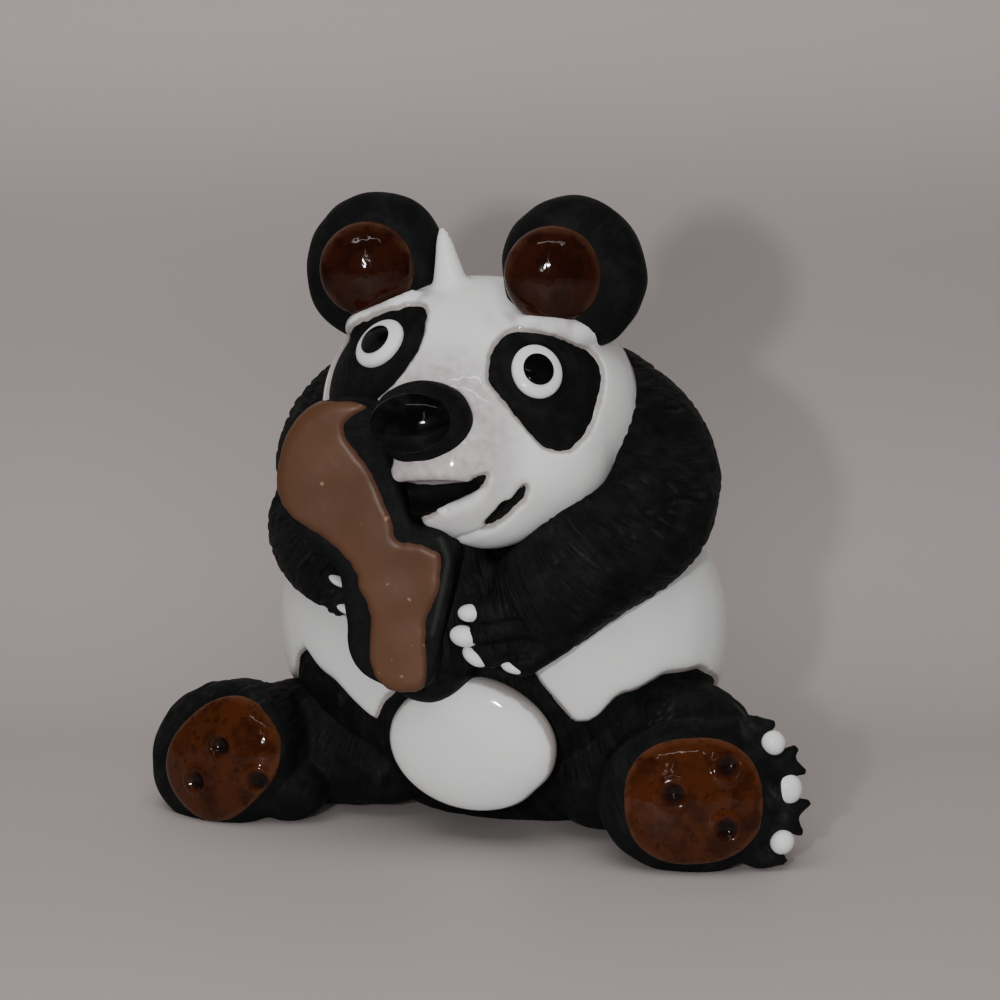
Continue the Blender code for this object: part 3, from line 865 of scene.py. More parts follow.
def lower_clay():
    """Both legs with their feet, and the seat between them."""
    s = body_sizes()
    limbs = [leg_clay(1, 1.07, -0.45, -0.52), leg_clay(-1, 1.02, -0.6, -0.58)]
    limbs += [foot_clay(foot) for foot in FEET]
    limbs.append(ball(inside(torso_lump(), -0.85, 0.7, -0.77), RIGHT_HEEL))
    seat = torso_egg(40)
    put(seat, points(seat) * np.array((0.97, 0.97, 1)) - np.array((0, 0, 0.3 * MM)))
    form = fuse([seat] + limbs, SKIN_VOXEL, 4)
    places = points(form)
    drop(form, (places[:, 2] > 0.55 * s.torso_height) & (np.abs(places[:, 0]) < 0.5 * s.torso_width))
    return form


def furred(form, clear, amount):
    """Scratch fur into a form as deep as an amount allows, roughen its skin by a share, and sit it on the
    table.
    """
    look = finish()
    places, ways = points(form), outward(form)
    strokes = fur_strokes(places, head_lump().centre, look.fur_pitch)
    rough = ripple(places, 2.6 * MM, 3) * 0.03 * MM + ripple(places, 6 * MM, 4) * 0.06 * MM
    put(form, places + ways * (rough * clear - look.fur_depth * strokes * amount)[:, None])
    patch = np.clip(ripple(places, 9 * MM, 8) + 0.3, 0, 1)
    dust = np.clip((strokes - 0.6) / 0.25, 0, 1) * patch * np.clip(2 * amount, 0, 1)
    smear = gap_to(places, np.array(FUR_SMEAR) * MM, closed=False) / MM
    note(form, "ridge", np.maximum(dust, (0.7 - smear / 1.2) * patch))
    sit(form)


def upper_fur(form):
    """Fur on ring and arms, none on the hands and on the bare belly."""
    places = points(form)
    height = places[:, 2] / MM
    furry = np.clip((height - 17) / 4, 0, 1)
    hand = np.linalg.norm(places - np.array(inside(ring_lump(), 0.4, 1.3, -0.62)), axis=1) / MM
    furry *= np.clip((hand - 6) / 4, 0, 1)
    for line in FINGER_LINES:
        path = [skin_place(form, x * MM, z * MM)[0] for x, z in rounded(line, 4, closed=False)]
        press_line(form, path, 0.55 * MM, 0.4 * MM)
    ring_line = [skin_place(form, x, z)[0] for x, z in belly_rim(1.12)]
    press_line(form, ring_line, 0.6 * MM, 0.3 * MM)
    furred(form, 1.0, furry)


def fur_strokes(places, centre, pitch):
    """Depth share of short strokes drawn outwards round a centre, in three staggered layers."""
    dice = np.random.default_rng(21)
    table = dice.uniform(0, 1, 4099)
    across, up = places[:, 0] - centre.x, places[:, 2] - centre.z
    reach = np.sqrt(across ** 2 + up ** 2 + (0.6 * (places[:, 1] - centre.y)) ** 2)
    angle = np.arctan2(across, up) + FUR_SWIRL * reach / (20 * MM)
    total = np.zeros(len(places))
    for layer, run in enumerate(FUR_RUNS):
        step = (reach + ripple(places, 12 * MM, 40 + layer) * 2 * MM) / (run * MM) + 0.37 * layer
        row = np.floor(step).astype(int)
        lane = angle * (row + 0.5 - 0.37 * layer) * run * MM / pitch + table[row % 4099] * 3
        lane += ripple(places, 9 * MM, 30 + layer) * 0.5
        cell = np.floor(lane).astype(int)
        chance = table[(cell * 31 + row * 101 + layer * 57) % 4099]
        shift = table[(cell * 17 + row * 43 + layer * 91) % 4099]
        middle = np.abs(lane - cell - 0.5) * 2
        along = np.clip((step - row - 0.25 * shift) / 0.75, 0, 1)
        stroke = np.clip(1 - middle / 0.5, 0, 1) ** 0.7 * np.sin(math.pi * along) ** 0.6
        total = np.maximum(total, stroke * np.clip(1.3 * chance - 0.2, 0, 1))
    return total


# Lengths of the strokes in millimetres for each layer, and how far they swirl round the head
FUR_RUNS = (3.4, 4.6, 2.6)
FUR_SWIRL = -0.12
# Smear of grey-green dust beside the head, in millimetres
FUR_SMEAR = [(16.4, -4, 41.7), (17.2, -5, 39.6), (16.9, -6, 37.3)]


def sit(form):
    """Press everything that is below the table flat onto it."""
    places = points(form)
    places[:, 2] = np.maximum(places[:, 2], 0)
    put(form, places)


def belly_rim(scale):
    """Right and upper rim of the belly, seen from the front."""
    middle = inside(torso_lump(), *BELLY_PLACE)
    rim = []
    for angle in range(-30, 121, 10):
        a = math.radians(angle)
        aside = scale * BELLY_SIZE[0] / 2 * MM * math.cos(a)
        above = scale * BELLY_SIZE[1] / 2 * MM * math.sin(a)
        rim.append((middle.x + aside, middle.z + above))
    return rim


# Belly bead: its place in the torso's shares, its size and bulge in millimetres
BELLY_PLACE = (0.09, 0.9, -0.42)
BELLY_SIZE = (17.1, 14.2)
BELLY_BULGE = 5.4
# Share of the torso's downward slope that the bead takes
BELLY_FACING = 0.5


# Operators, one for each piece or group of like pieces


class PANDA_OT_body(bpy.types.Operator):
    """Model the black clay of torso, fur ring, arms and hands"""

    bl_idname = "panda.body"
    bl_label = "Clay Body"

    def execute(self, context):
        body = upper_clay()
        upper_fur(body)
        ride_finished(body, "clay_body", "furred clay")
        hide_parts(NODE)
        return {"FINISHED"}


class PANDA_OT_legs(bpy.types.Operator):
    """Model the black clay of legs, feet and seat"""

    bl_idname = "panda.legs"
    bl_label = "Clay Legs"

    def execute(self, context):
        legs = lower_clay()
        height = points(legs)[:, 2] / MM
        furred(legs, 1.6, np.clip((height - 9) / 6, 0, 0.6))
        ride_finished(legs, "clay_legs", "furred clay")
        return {"FINISHED"}


class PANDA_OT_head(bpy.types.Operator):
    """Model the black clay of the head, bare in the eye patches and the mouth"""

    bl_idname = "panda.head"
    bl_label = "Clay Head"

    def execute(self, context):
        form = kept("head_form", head_form)
        clay = copy_of(form, "clay_head")
        places = points(clay)
        for middle, _, high in eye_places():
            gap = np.linalg.norm(places - np.array(middle), axis=1)
            for step in (1.22, 1.55):
                near = np.abs(gap - step * high / 2) / (0.28 * MM)
                places -= outward(clay) * (0.1 * MM * np.clip(1 - near, 0, 1))[:, None]
        put(clay, places)
        ride_finished(clay, "clay_head", "smooth clay")
        return {"FINISHED"}


def eye_places():
    """Middle, width and height of each eye bead, the panda's right eye first."""
    h = head_sizes()
    form = kept("head_form", head_form)
    eyes = []
    for across, up, wide in EYE_SPOTS:
        eyes.append((skin_place(form, across * MM, up * MM)[0], wide * h.eye_width, h.eye_height))
    return eyes


# Eyes seen from the front in millimetres, with a share of the bead's width, then each pupil's distance
# aside and above the bead's middle, its width and its height
EYE_SPOTS = [(-6.95, 50.05, 1.16), (9.1, 47.9, 1.0)]
PUPILS = [(0.25, -0.1, 3.4, 3.2), (-0.15, -0.1, 3.0, 3.2)]
EYE_BULGE = 1.9 * MM


class PANDA_OT_white(bpy.types.Operator):
    """Lay the white glaze on head, flanks, belly and tail"""

    bl_idname = "panda.white"
    bl_label = "White Glaze"

    def execute(self, context):
        look = finish()
        form = kept("head_form", head_form)
        field = np.full(len(form.data.vertices), np.inf)
        for outline in (RIGHT_PATCH, LEFT_PATCH, MOUTH, SMILE):
            field = np.minimum(field, mark_gap(form, np.array(outline) * MM))
        field += ripple(points(form), 1.4 * MM, 11) * 0.07 * MM
        # The note holds a warm stain and, round and under the nose, painted shade
        note(form, "stain_and_shade", self.stain_and_shade(form))
        coat = glaze_over(form, "head_glaze", field, look.coat, look.coat_rim)
        ride_finished(coat, "head_glaze", "white glaze")
        ride_finished(self.flanks(look), "flank_glaze", "white glaze")
        ride_finished(self.belly(), "belly_glaze", "white glaze")
        ride_finished(self.tail(), "tail_glaze", "white glaze")
        return {"FINISHED"}

    def stain_and_shade(self, form):
        """Warm stain round the nose, the mouth and the lips of glaze under the ears, 0 to 1, with painted
        shade on the muzzle round and under the nose.
        """
        places = points(form)
        nose = np.array(inside(muzzle_lump(), -0.05, 0.9, 0.6))
        near_nose = np.linalg.norm(places - nose, axis=1) / MM
        near_mouth = mark_gap(form, np.array(MOUTH) * MM) / MM
        # The wide reach round the nose paints shade on the muzzle under it, besides the warm stain
        stain_and_shade = np.maximum(np.clip((10.5 - near_nose) / 4.5, 0, 1), np.clip((1.6 - near_mouth) / 3, 0, 1))
        patch = np.clip(ripple(places, 3 * MM, 31) + 0.6, 0, 1)
        for lip in (RIGHT_LIP, LEFT_LIP):
            gap = gap_to(places, np.array(lip) * MM, closed=False) / MM
            stain_and_shade = np.maximum(stain_and_shade, np.clip(2.2 - gap / 1.2, 0, 1) * patch * 0.8)
        return stain_and_shade

    def flanks(self, look):
        """Band of glaze from one flank round the back to the other, ragged along its lower edge."""
        torso = torso_lump()
        egg = torso_egg(150)
        places = points(egg)
        half = torso.size / 2
        turn = np.degrees(np.arctan2(
            (places[:, 0] - torso.centre.x) / half.x, -(places[:, 1] - torso.centre.y) / half.y,
        ))
        height = places[:, 2] / MM
        left = np.interp(turn, FLANK_LEFT_TURN, FLANK_LEFT_LOW)
        right = np.interp(-turn, FLANK_RIGHT_TURN, FLANK_RIGHT_LOW)
        low = np.where(turn > 0, left, right)
        rise = (height - low) * 0.85
        start_left = (turn - np.interp(height, (13.0, 18.5), (33.0, 21.0))) * 0.36
        start_right = (-turn - np.interp(height, (11.5, 16.5, 24.0), (25.0, 14.0, 22.0))) * 0.36
        side = np.where(turn > 0, start_left, start_right)
        field = np.minimum(rise, side) * MM
        teeth = ripple(places, 5 * MM, 5) * 0.3 * MM + ripple(places, 1.7 * MM, 6) * 0.025 * MM
        under = np.interp(np.abs(turn), (50, 75, 90), (29, 33, 36))
        field = np.minimum(field + teeth, (under - height) * MM)
        coat = glaze_over(egg, "flank_glaze", field, look.coat * 1.4, look.coat_rim * 1.3, dive=1.1 * MM)
        bpy.data.objects.remove(egg)
        return coat

    def belly(self):
        """Egg-shaped bead of glaze between the legs."""
        torso = torso_lump()
        across, forward, up = BELLY_PLACE
        down = BELLY_FACING * up / torso.size.z
        normal = Vector((across / torso.size.x, -forward / torso.size.y, down))
        turn = np.array(normal.to_track_quat("-Y", "Z").to_matrix())
        bead = ball((0, 0, 0), (2, 2, 2), square=0.8, rings=60)
        unit = points(bead)
        angle = np.degrees(np.arctan2(unit[:, 2], unit[:, 0]))
        reach = np.hypot(unit[:, 0], unit[:, 2])
        notch = 1 - 0.06 * np.exp(-((angle - 128) / 9) ** 2) - 0.03 * np.exp(-((angle + 40) / 12) ** 2)
        top = np.clip(unit[:, 2], 0, 1)
        unit[:, 0] *= (1 - 0.1 * top ** 2) * notch
        unit[:, 2] *= notch
        shaped = unit * np.array((BELLY_SIZE[0], BELLY_BULGE, BELLY_SIZE[1])) * MM / 2
        put(bead, shaped @ turn.T + np.array(inside(torso, across, 1.04 * forward, up)))
        note(bead, "edge", (1 - reach) * 8)
        return bead

    def tail(self):
        """Short round tail."""
        torso, width = torso_lump(), body_sizes().tail_width
        size = (1.06 * width, 0.98 * width, 0.96 * width)
        bead = ball(inside(torso, 0, -0.97, -0.5), size, rings=40)
        places = points(bead)
        put(bead, places + outward(bead) * (ripple(places, 4 * MM, 9) * 0.15 * MM)[:, None])
        note(bead, "edge", THICK)
        return bead


# Lower edge of the white flanks, height in millimetres over degrees from the front
FLANK_LEFT_TURN = (30, 37, 45, 60, 75, 95, 110, 130, 150, 180)
FLANK_LEFT_LOW = (13.0, 13.4, 16.0, 17.8, 17.6, 15.5, 12.0, 8.0, 5.5, 5.0)
FLANK_RIGHT_TURN = (20, 24, 36, 48, 58, 68, 80, 95, 110, 130, 150, 180)
FLANK_RIGHT_LOW = (11.6, 12.4, 15.4, 17.9, 15.6, 13.4, 11.8, 10.4, 9.5, 8.0, 5.5, 5.0)


# Ears: place in the head's shares, lean, and the bead's distance aside of the ear's middle and below it
EARS = [("right", -0.636, 0.16, 0.95, 20, -0.6 * MM, 0.1 * MM),
        ("left", 0.66, 0.16, 0.94, -20, -1.9 * MM, 0.0)]
EAR_TURN = 18
EAR_BEAD_SHARE = 0.68
EAR_BEAD_THICKNESS = 4.2 * MM


class PANDA_OT_ears(bpy.types.Operator):
    """Model the round ears with a deep brown bead in each"""

    bl_idname = "panda.ears"
    bl_label = "Ears"

    def execute(self, context):
        h = head_sizes()
        turn = Euler((0, 0, math.radians(EAR_TURN)))
        for side, across, forward, up, lean, aside, below in EARS:
            centre = inside(head_lump(), across, forward, up)
            leant = Euler((0, math.radians(lean), math.radians(EAR_TURN)))
            size = (h.ear_width, h.ear_thickness, h.ear_height)
            lobe = ball(centre, size, leant, square=0.75, rings=70)
            places = points(lobe)
            waves = ripple(places, 5 * MM, 13) * 0.1 * MM
            put(lobe, places + outward(lobe) * waves[:, None])
            ride_finished(lobe, "ear_%s" % side, "smooth clay")
            middle = centre + turn.to_matrix() @ Vector((aside, 0.8 * MM - 0.5 * h.ear_thickness, -below))
            wide = EAR_BEAD_SHARE * h.ear_width
            bead = ball(middle, (wide, EAR_BEAD_THICKNESS, wide), turn, rings=48)
            reach = np.linalg.norm((points(bead) - np.array(middle)), axis=1)
            note(bead, "edge", np.clip((0.5 * wide - reach) / MM, 0, 4))
            ride_finished(bead, "ear_bead_%s" % side, "ear glaze")
        return {"FINISHED"}


class PANDA_OT_eyes(bpy.types.Operator):
    """Set a white bead with a glossy pupil in each eye patch"""

    bl_idname = "panda.eyes"
    bl_label = "Eyes"

    def execute(self, context):
        form = kept("head_form", head_form)
        for side, eye, pupil_sizes in zip(("right", "left"), eye_places(), PUPILS):
            middle, wide, high = eye
            aside, above, width, height = pupil_sizes
            _, normal = skin_place(form, middle.x, middle.z)
            track = normal.to_track_quat("-Y", "Z")
            bead = ball(middle, (wide, EYE_BULGE, high), track.to_euler(), square=0.8, rings=36)
            note(bead, "edge", THICK)
            ride_finished(bead, "eye_%s" % side, "white glaze")
            half = Vector((wide, EYE_BULGE, high)) / 2
            x, z = aside * MM / half.x, above * MM / half.z
            y = -math.sqrt(1 - x * x - z * z)
            spot = middle + track @ Vector((x * half.x, y * half.y, z * half.z))
            curve = track @ Vector((x / half.x, y / half.y, z / half.z)).normalized()
            turn = curve.to_track_quat("-Y", "Z").to_euler()
            pupil = ball(spot, (width * MM, 0.7 * MM, height * MM), turn, rings=28)
            ride_finished(pupil, "pupil_%s" % side, "ink glaze")
        return {"FINISHED"}


class PANDA_OT_nose(bpy.types.Operator):
    """Model the broad nose with its glossy oval"""

    bl_idname = "panda.nose"
    bl_label = "Nose"

    def execute(self, context):
        h = head_sizes()
        turn = (math.radians(-4), math.radians(-8), math.radians(4))
        centre = inside(muzzle_lump(), -0.15, 0.78, 0.6)
        pad = ball(centre, (h.nose_width, h.nose_depth, h.nose_height), turn, square=0.85, rings=56)
        places = points(pad)
        put(pad, places + outward(pad) * (ripple(places, 3 * MM, 17) * 0.05 * MM)[:, None])
        ride_finished(pad, "nose", "smooth clay")
        spin = Euler(turn).to_matrix()
        front = centre + spin @ Vector((-0.3 * MM, -0.5 * h.nose_depth + 0.4 * MM, 0.1 * MM))
        facing = (math.radians(-9), math.radians(-8), math.radians(12))
        gloss = ball(front, (0.8 * h.nose_width, 2.0 * MM, 0.72 * h.nose_height), facing, rings=48)
        ride_finished(gloss, "nose_gloss", "ink glaze")
        return {"FINISHED"}


class PANDA_OT_claws(bpy.types.Operator):
    """Set the white claw beads on hands and feet"""

    bl_idname = "panda.claws"
    bl_label = "Claws"

    def execute(self, context):
        ring = ring_lump()
        beads = []
        for name, tips in (("left_hand", LEFT_TIPS), ("right_hand", RIGHT_TIPS)):
            for number, tip in enumerate(tips):
                size = (tip[4] * MM, 2.3 * MM, tip[5] * MM)
                turn = (0, math.radians(tip[3]), 0)
                beads.append(("claw_%s_%d" % (name, number + 1), inside(ring, *tip[:3]), size, turn))
        for foot in FEET:
            for number, angle in enumerate(CLAW_ANGLES):
                spot = rim_place(foot, angle, foot.claws[number], foot.claw_front)
                turn = (0, math.radians(-foot.side * angle), math.radians(foot.yaw))
                size = [side * MM for side in CLAW_SIZES[number]]
                spot.z = max(spot.z, size[2] / 2)
                beads.append(("claw_%s_foot_%d" % (foot.name, number + 1), spot, size, turn))
        for name, spot, size, turn in beads:
            bead = ball(spot, size, turn, rings=22)
            note(bead, "edge", THICK)
            ride_finished(bead, name, "white glaze")
        return {"FINISHED"}


def sole_pad(foot):
    """Rounded square of glaze that lies on a foot's front, with its pits."""
    s = body_sizes()
    half = np.array((foot.pad.width * s.foot_width, 0, foot.pad.height * s.foot_height)) / 2
    shift = np.array((foot.pad.aside * s.foot_width, 0, foot.pad.rise * s.foot_height))
    twist = np.array(Euler((0, -math.radians(foot.pad.turn), 0)).to_matrix())
    pad = ball((0, 0, 0), (2, 2, 2), square=0.5, rings=90)
    places = points(pad)
    reach = np.hypot(places[:, 0], places[:, 2])
    angle = np.arctan2(places[:, 2], places[:, 0])
    corner = np.abs(np.cos(angle)) ** PAD_SQUARE + np.abs(np.sin(angle)) ** PAD_SQUARE
    corner = corner ** (-1 / PAD_SQUARE)
    sole = (places * corner[:, None] * half) @ twist + shift
    aside, above = sole[:, 0], sole[:, 2]
    share = np.clip((2 * aside / s.foot_width) ** 2 + (2 * above / s.foot_height) ** 2, 0, 0.97)
    skin = -0.5 * s.foot_thickness * (1 - share) ** (FOOT_SQUARE / 2)
    lift = places[:, 1] * PAD_RISE
    front = places[:, 1] < 0
    pit = np.zeros(len(places))
    for across, up in foot.pits:
        spot = np.array((across, 0, up)) * half + shift
        far = np.hypot(aside - spot[0], above - spot[2]) / MM
        lift -= np.where(front, 0.25 * MM * np.exp(-((far - 1.3) / 0.35) ** 2), 0)
        lift += np.where(front, 0.55 * MM * np.exp(-(far / 0.8) ** 2), 0)
        pit = np.maximum(pit, np.clip((1.15 - far) / 0.5, 0, 1))
    sole[:, 1] = skin + lift
    centre, turn = foot_place(foot)
    put(pad, sole @ np.array(turn.to_matrix()).T + np.array(centre))
    note(pad, "edge", np.clip((1 - reach) * half[0] / MM, 0, 4))
    note(pad, "pit", pit * 0.9)
    return pad


# Roundness of the pads' outline, 2 for an ellipse, and how far they stand out
PAD_SQUARE = 2.4
PAD_RISE = 0.7 * MM


class PANDA_OT_soles(bpy.types.Operator):
    """Lay mottled brown glaze with three pits on each sole"""

    bl_idname = "panda.soles"
    bl_label = "Soles"

    def execute(self, context):
        for foot in FEET:
            ride_finished(sole_pad(foot), "sole_" + foot.name, "sole glaze")
        return {"FINISHED"}


# Outline of the food in shares of its length from its waist, and its glaze in millimetres
FOOD_OUTLINE = [
    (0.0, 0.51), (0.015, 0.435), (0.04, 0.325), (0.08, 0.2), (0.125, 0.115), (0.225, 0.085),
    (0.256, 0.04), (0.254, -0.03), (0.236, -0.12), (0.207, -0.25), (0.19, -0.35), (0.168, -0.405),
    (0.1, -0.418), (0.03, -0.395), (-0.035, -0.36), (-0.062, -0.31), (-0.07, -0.21), (-0.085, -0.11),
    (-0.105, -0.02), (-0.15, 0.04), (-0.222, 0.108), (-0.282, 0.168), (-0.312, 0.25), (-0.308, 0.345),
    (-0.268, 0.435), (-0.2, 0.505), (-0.09, 0.533),
]
FOOD_GLAZE = [
    (-0.5, 15.0), (-2.6, 15.4), (-5.8, 14.9), (-7.8, 13.4), (-9.1, 11.2), (-9.5, 8.1), (-9.3, 6.2),
    (-8.0, 4.2), (-5.2, 2.5), (-3.7, 1.5), (-2.6, 0.4), (-1.7, -0.9), (-1.3, -2.6), (-0.6, -3.8),
    (-0.2, -5.5), (-0.3, -7.2), (-0.4, -8.9), (0.1, -10.9), (1.2, -12.0), (2.8, -12.4), (4.9, -11.9),
    (5.2, -10.1), (5.1, -7.7), (5.2, -5.2), (5.8, -3.8), (6.5, -2.3), (6.6, -0.5), (6.6, 1.1), (5.8, 1.5),
    (4.7, 2.0), (2.4, 2.3), (1.9, 4.1), (1.2, 5.7), (-0.2, 8.8), (-1.2, 10.2), (-2.5, 11.8), (-2.8, 13.2),
    (-1.8, 14.2),
]
# Pale grey-green line painted along the slab's right rim, in millimetres
FOOD_PALE_RIM_LINE = [(6.6, 2.6), (7.3, 0.8), (7.1, -0.8), (6.6, -3.2), (5.8, -6.6)]
FOOD_TURN = 8
FOOD_TAPER = 0.55
FOOD_ROUNDING = 0.9 * MM
FOOD_COAT = 0.3 * MM
FOOD_RIM = 0.6 * MM


def food_slab():
    """Flat slab of clay with a rounded rim, lying face up."""
    s = body_sizes()
    curve = bpy.data.curves.new("slab", "CURVE")
    curve.dimensions = "2D"
    curve.fill_mode = "BOTH"
    curve.extrude = s.food_thickness / 2 - FOOD_ROUNDING
    curve.bevel_depth = FOOD_ROUNDING
    curve.bevel_resolution = 4
    spline = curve.splines.new("BEZIER")
    spline.bezier_points.add(len(FOOD_OUTLINE) - 1)
    spline.use_cyclic_u = True
    for knot, (across, up) in zip(spline.bezier_points, FOOD_OUTLINE):
        knot.co = (across * s.food_length, up * s.food_length, 0)
        knot.handle_left_type = "AUTO"
        knot.handle_right_type = "AUTO"
    slab = bpy.data.objects.new("slab", curve)
    bpy.context.scene.collection.objects.link(slab)
    pick([slab])
    bpy.ops.object.convert(target="MESH")
    return fuse([slab], FOOD_VOXEL, 4)


def thinned(flat):
    """The flat slab's vertices, with its back brought forward towards the lower end."""
    s = body_sizes()
    thin = np.interp(flat[:, 1] / s.food_length, (-0.4, 0.05, 0.25), (FOOD_TAPER, 0.8 * FOOD_TAPER, 0.1))
    back = np.clip(0.5 - flat[:, 2] / s.food_thickness, 0, 1)
    return flat + np.array((0, 0, 1)) * (back * thin * s.food_thickness)[:, None]


def raise_slab(slab, shaped, waves):
    """Set the slab upright in front of the mouth, with slow waves over its skin."""
    turn = np.array(Euler((math.radians(90), 0, math.radians(FOOD_TURN))).to_matrix())
    middle = np.array(inside(ring_lump(), -0.13, 1.6, -0.24))
    shaped = shaped - np.array((0, 0, body_sizes().food_thickness / 2)) + outward(slab) * waves[:, None]
    put(slab, shaped @ turn.T + middle)


class PANDA_OT_food(bpy.types.Operator):
    """Model the shoot, a slab of clay with satin brown glaze on its face"""

    bl_idname = "panda.food"
    bl_label = "Food"

    def execute(self, context):
        slab = food_slab()
        flat = points(slab)
        outline = rounded(np.array(FOOD_GLAZE) * MM)
        field = gap_to(flat[:, :2], outline)
        field = np.where(within(flat[:, :2], outline), field, -field)
        field += ripple(flat, 1.6 * MM, 23) * 0.05 * MM
        field = np.minimum(field, flat[:, 2] - 0.8 * MM)
        shaped = thinned(flat)
        raise_slab(slab, shaped, ripple(flat, 5 * MM, 24) * 0.1 * MM)
        # Pale grey-green line painted along the rim on the slab's face side
        rim = rounded(np.array(FOOD_PALE_RIM_LINE) * MM, 6, closed=False)
        rim_line_gap = gap_to(flat[:, :2], rim, closed=False) / MM
        note(slab, "ridge", np.clip(1.2 - rim_line_gap / 0.28, 0, 1) * (shaped[:, 2] > 0) * 0.7)
        coat = glaze_over(slab, "food_glaze", field, FOOD_COAT, FOOD_RIM)
        ride_finished(coat, "food_glaze", "food glaze")
        ride_finished(slab, "food_clay", "smooth clay")
        return {"FINISHED"}


# Photographer's view of the figurine
VIEW_AZIMUTH = 21
VIEW_ELEVATION = 9
VIEW_DISTANCE = 260 * MM
VIEW_HEIGHT = 33 * MM
VIEW_LENS = 91.73
SWEEP_BACK = 30 * MM
SWEEP_RADIUS = 60 * MM
SWEEP_REACH = 500 * MM


def from_view(azimuth, elevation, distance):
    """Place at a distance from the figurine's middle."""
    a, e = math.radians(azimuth), math.radians(elevation)
    way = Vector((math.sin(a) * math.cos(e), -math.cos(a) * math.cos(e), math.sin(e)))
    return Vector((0, 0, VIEW_HEIGHT)) + way * distance


WHITE_LIGHT = (1, 1, 1)
WARM_LIGHT = (1.0, 0.985, 0.975)
# Each light's degrees aside of the view and above the table, its distance and size in metres, its power
# and tint, and whether the glaze mirrors it
LIGHTS = [
    ("flash", -11, 10, 0.262, (0.011, 0.011), 0.25, WHITE_LIGHT, True),
    ("ceiling", -10, 64, 0.45, (0.4, 0.4), 1.15, WARM_LIGHT, False),
    ("front", 4, 12, 0.5, (0.3, 0.3), 0.62, WHITE_LIGHT, False),
    ("tube", -9, 41, 0.5, (0.3, 0.008), 0.13, WHITE_LIGHT, True),
    ("strip", -11, 16, 0.4, (0.005, 0.12), 0.02, WHITE_LIGHT, True),
]


def area_light(name, aside, above, distance, size, power, tint, mirrored):
    """Soft square light that looks at the figurine."""
    lamp = bpy.data.lights.new(name, "AREA")
    lamp.shape = "RECTANGLE"
    lamp.size, lamp.size_y = size
    lamp.energy = power
    lamp.color = tint
    holder = bpy.data.objects.new(name, lamp)
    bpy.context.scene.collection.objects.link(holder)
    holder.location = from_view(VIEW_AZIMUTH + aside, above, distance)
    way = holder.location - Vector((0, 0, VIEW_HEIGHT * 0.8))
    holder.rotation_euler = way.to_track_quat("Z", "Y").to_euler()
    holder.visible_glossy = mirrored


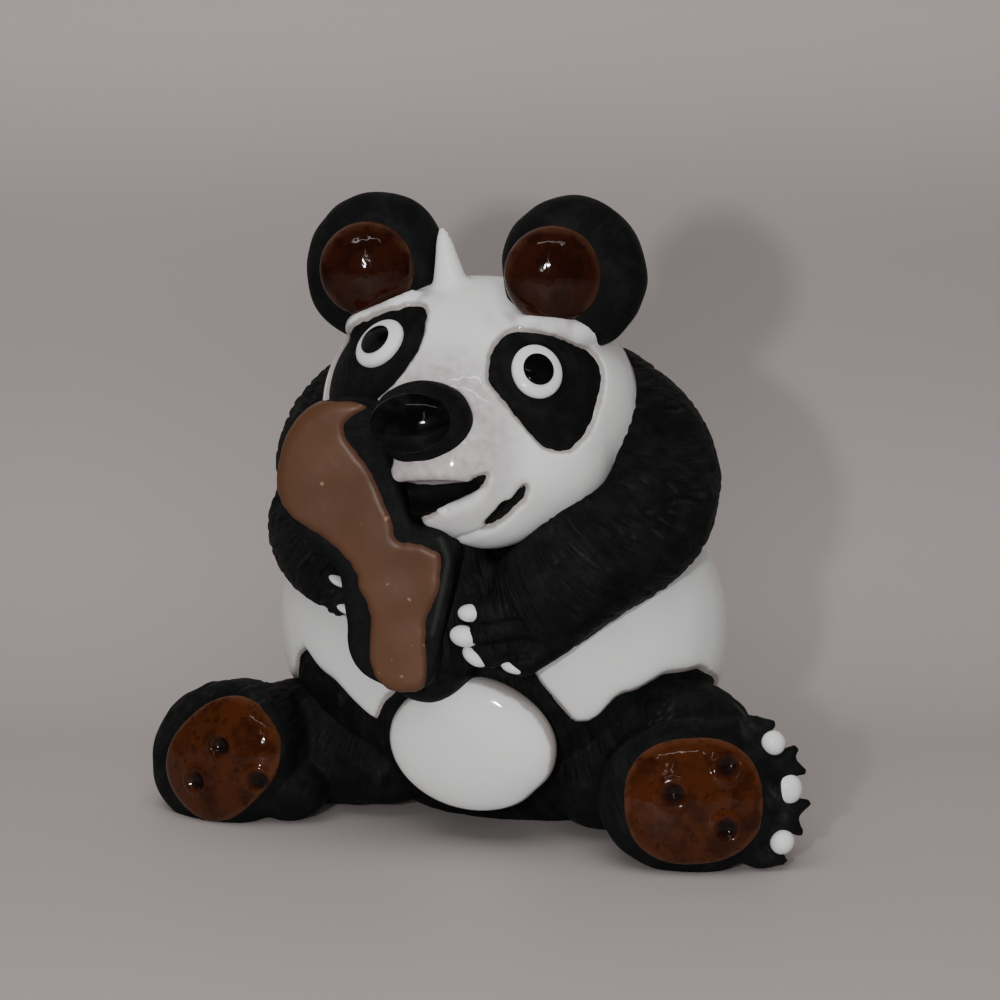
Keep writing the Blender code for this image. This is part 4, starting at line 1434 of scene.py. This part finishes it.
class PANDA_OT_stage(bpy.types.Operator):
    """Set up the pale sweep, the lights and the camera"""

    bl_idname = "panda.stage"
    bl_label = "Stage"

    def execute(self, context):
        self.sweep()
        eye = bpy.data.cameras.new("camera")
        eye.sensor_width = 36
        eye.lens = VIEW_LENS
        eye.clip_start = 0.01
        camera = bpy.data.objects.new("camera", eye)
        context.scene.collection.objects.link(camera)
        camera.location = from_view(VIEW_AZIMUTH, VIEW_ELEVATION, VIEW_DISTANCE)
        way = camera.location - Vector((0, 0, VIEW_HEIGHT))
        camera.rotation_euler = way.to_track_quat("Z", "Y").to_euler()
        context.scene.camera = camera
        for light in LIGHTS:
            area_light(*light)
        world = bpy.data.worlds.new("room")
        world.use_nodes = True
        world.node_tree.nodes["Background"].inputs["Color"].default_value = (0.42, 0.40, 0.39, 1)
        world.node_tree.nodes["Background"].inputs["Strength"].default_value = 0.18
        context.scene.world = world
        return {"FINISHED"}

    def sweep(self):
        """Floor that curves up into a backdrop, square to the view."""
        a = math.radians(VIEW_AZIMUTH)
        profile = [(-SWEEP_REACH, 0.0), (SWEEP_BACK, 0.0)]
        for step in range(1, 13):
            turn = math.radians(90 * step / 12)
            back = SWEEP_BACK + SWEEP_RADIUS * math.sin(turn)
            profile.append((back, SWEEP_RADIUS * (1 - math.cos(turn))))
        profile.append((SWEEP_BACK + SWEEP_RADIUS, SWEEP_REACH))
        mesh = bpy.data.meshes.new("sweep")
        rows = []
        for back, up in profile:
            for side in (-SWEEP_REACH, SWEEP_REACH):
                x = math.cos(a) * side - math.sin(a) * back
                y = math.sin(a) * side + math.cos(a) * back
                rows.append((x, y, up))
        faces = [(2 * i, 2 * i + 1, 2 * i + 3, 2 * i + 2) for i in range(len(profile) - 1)]
        mesh.from_pydata(rows, [], faces)
        floor = bpy.data.objects.new("sweep", mesh)
        bpy.context.scene.collection.objects.link(floor)
        floor.data.polygons.foreach_set("use_smooth", np.full(len(faces), True))
        material, t, shader, place = blank("sweep", 0.55, 0.3)
        tint = finish().floor
        # Painted shade makes the sweep darker as it curves up from the floor, and painted light makes the
        # backdrop lighter above about 85 mm
        height = t.add("ShaderNodeSeparateXYZ", Vector=place).outputs["Z"]
        low = t.mix(t.spread(height, 0.01, 0.045), tint, [0.84 * channel for channel in tint])
        high = t.spread(height, 0.05, 0.085)
        t.feed(shader.inputs["Base Color"], t.mix(high, low, [1.15 * channel for channel in tint]))
        floor.data.materials.append(material)


class PANDA_PT_panel(bpy.types.Panel):
    """Buttons for the figurine's pieces"""

    bl_idname = "PANDA_PT_panel"
    bl_label = "Panda Figurine"
    bl_space_type = "VIEW_3D"
    bl_region_type = "UI"
    bl_category = "Panda"

    def draw(self, context):
        column = self.layout.column()
        for operator in OPERATORS:
            column.operator(operator.bl_idname)
        for group in (context.scene.panda_body, context.scene.panda_head, context.scene.panda_finish):
            box = self.layout.box()
            for name in group.__annotations__:
                box.prop(group, name)


OPERATORS = [
    PANDA_OT_stage, PANDA_OT_body, PANDA_OT_legs, PANDA_OT_head, PANDA_OT_white, PANDA_OT_ears,
    PANDA_OT_eyes, PANDA_OT_nose, PANDA_OT_claws, PANDA_OT_soles, PANDA_OT_food,
]
GROUPS = [PandaBodySizes, PandaHeadSizes, PandaFinish]


def register():
    """Register groups, operators and panel."""
    for cls in GROUPS + OPERATORS + [PANDA_PT_panel]:
        bpy.utils.register_class(cls)
    bpy.types.Scene.panda_body = PointerProperty(type=PandaBodySizes)
    bpy.types.Scene.panda_head = PointerProperty(type=PandaHeadSizes)
    bpy.types.Scene.panda_finish = PointerProperty(type=PandaFinish)


def unregister():
    """Take everything back."""
    del bpy.types.Scene.panda_body
    del bpy.types.Scene.panda_head
    del bpy.types.Scene.panda_finish
    for cls in reversed(GROUPS + OPERATORS + [PANDA_PT_panel]):
        bpy.utils.unregister_class(cls)


def main():
    """Make the figurine piece by piece."""
    register()
    bpy.ops.panda.stage()
    bpy.ops.panda.body()
    bpy.ops.panda.legs()
    bpy.ops.panda.head()
    bpy.ops.panda.white()
    bpy.ops.panda.ears()
    bpy.ops.panda.eyes()
    bpy.ops.panda.nose()
    bpy.ops.panda.claws()
    bpy.ops.panda.soles()
    bpy.ops.panda.food()
    for form in FORMS.values():
        bpy.data.objects.remove(form)
    FORMS.clear()


if __name__ == "__main__":
    main()
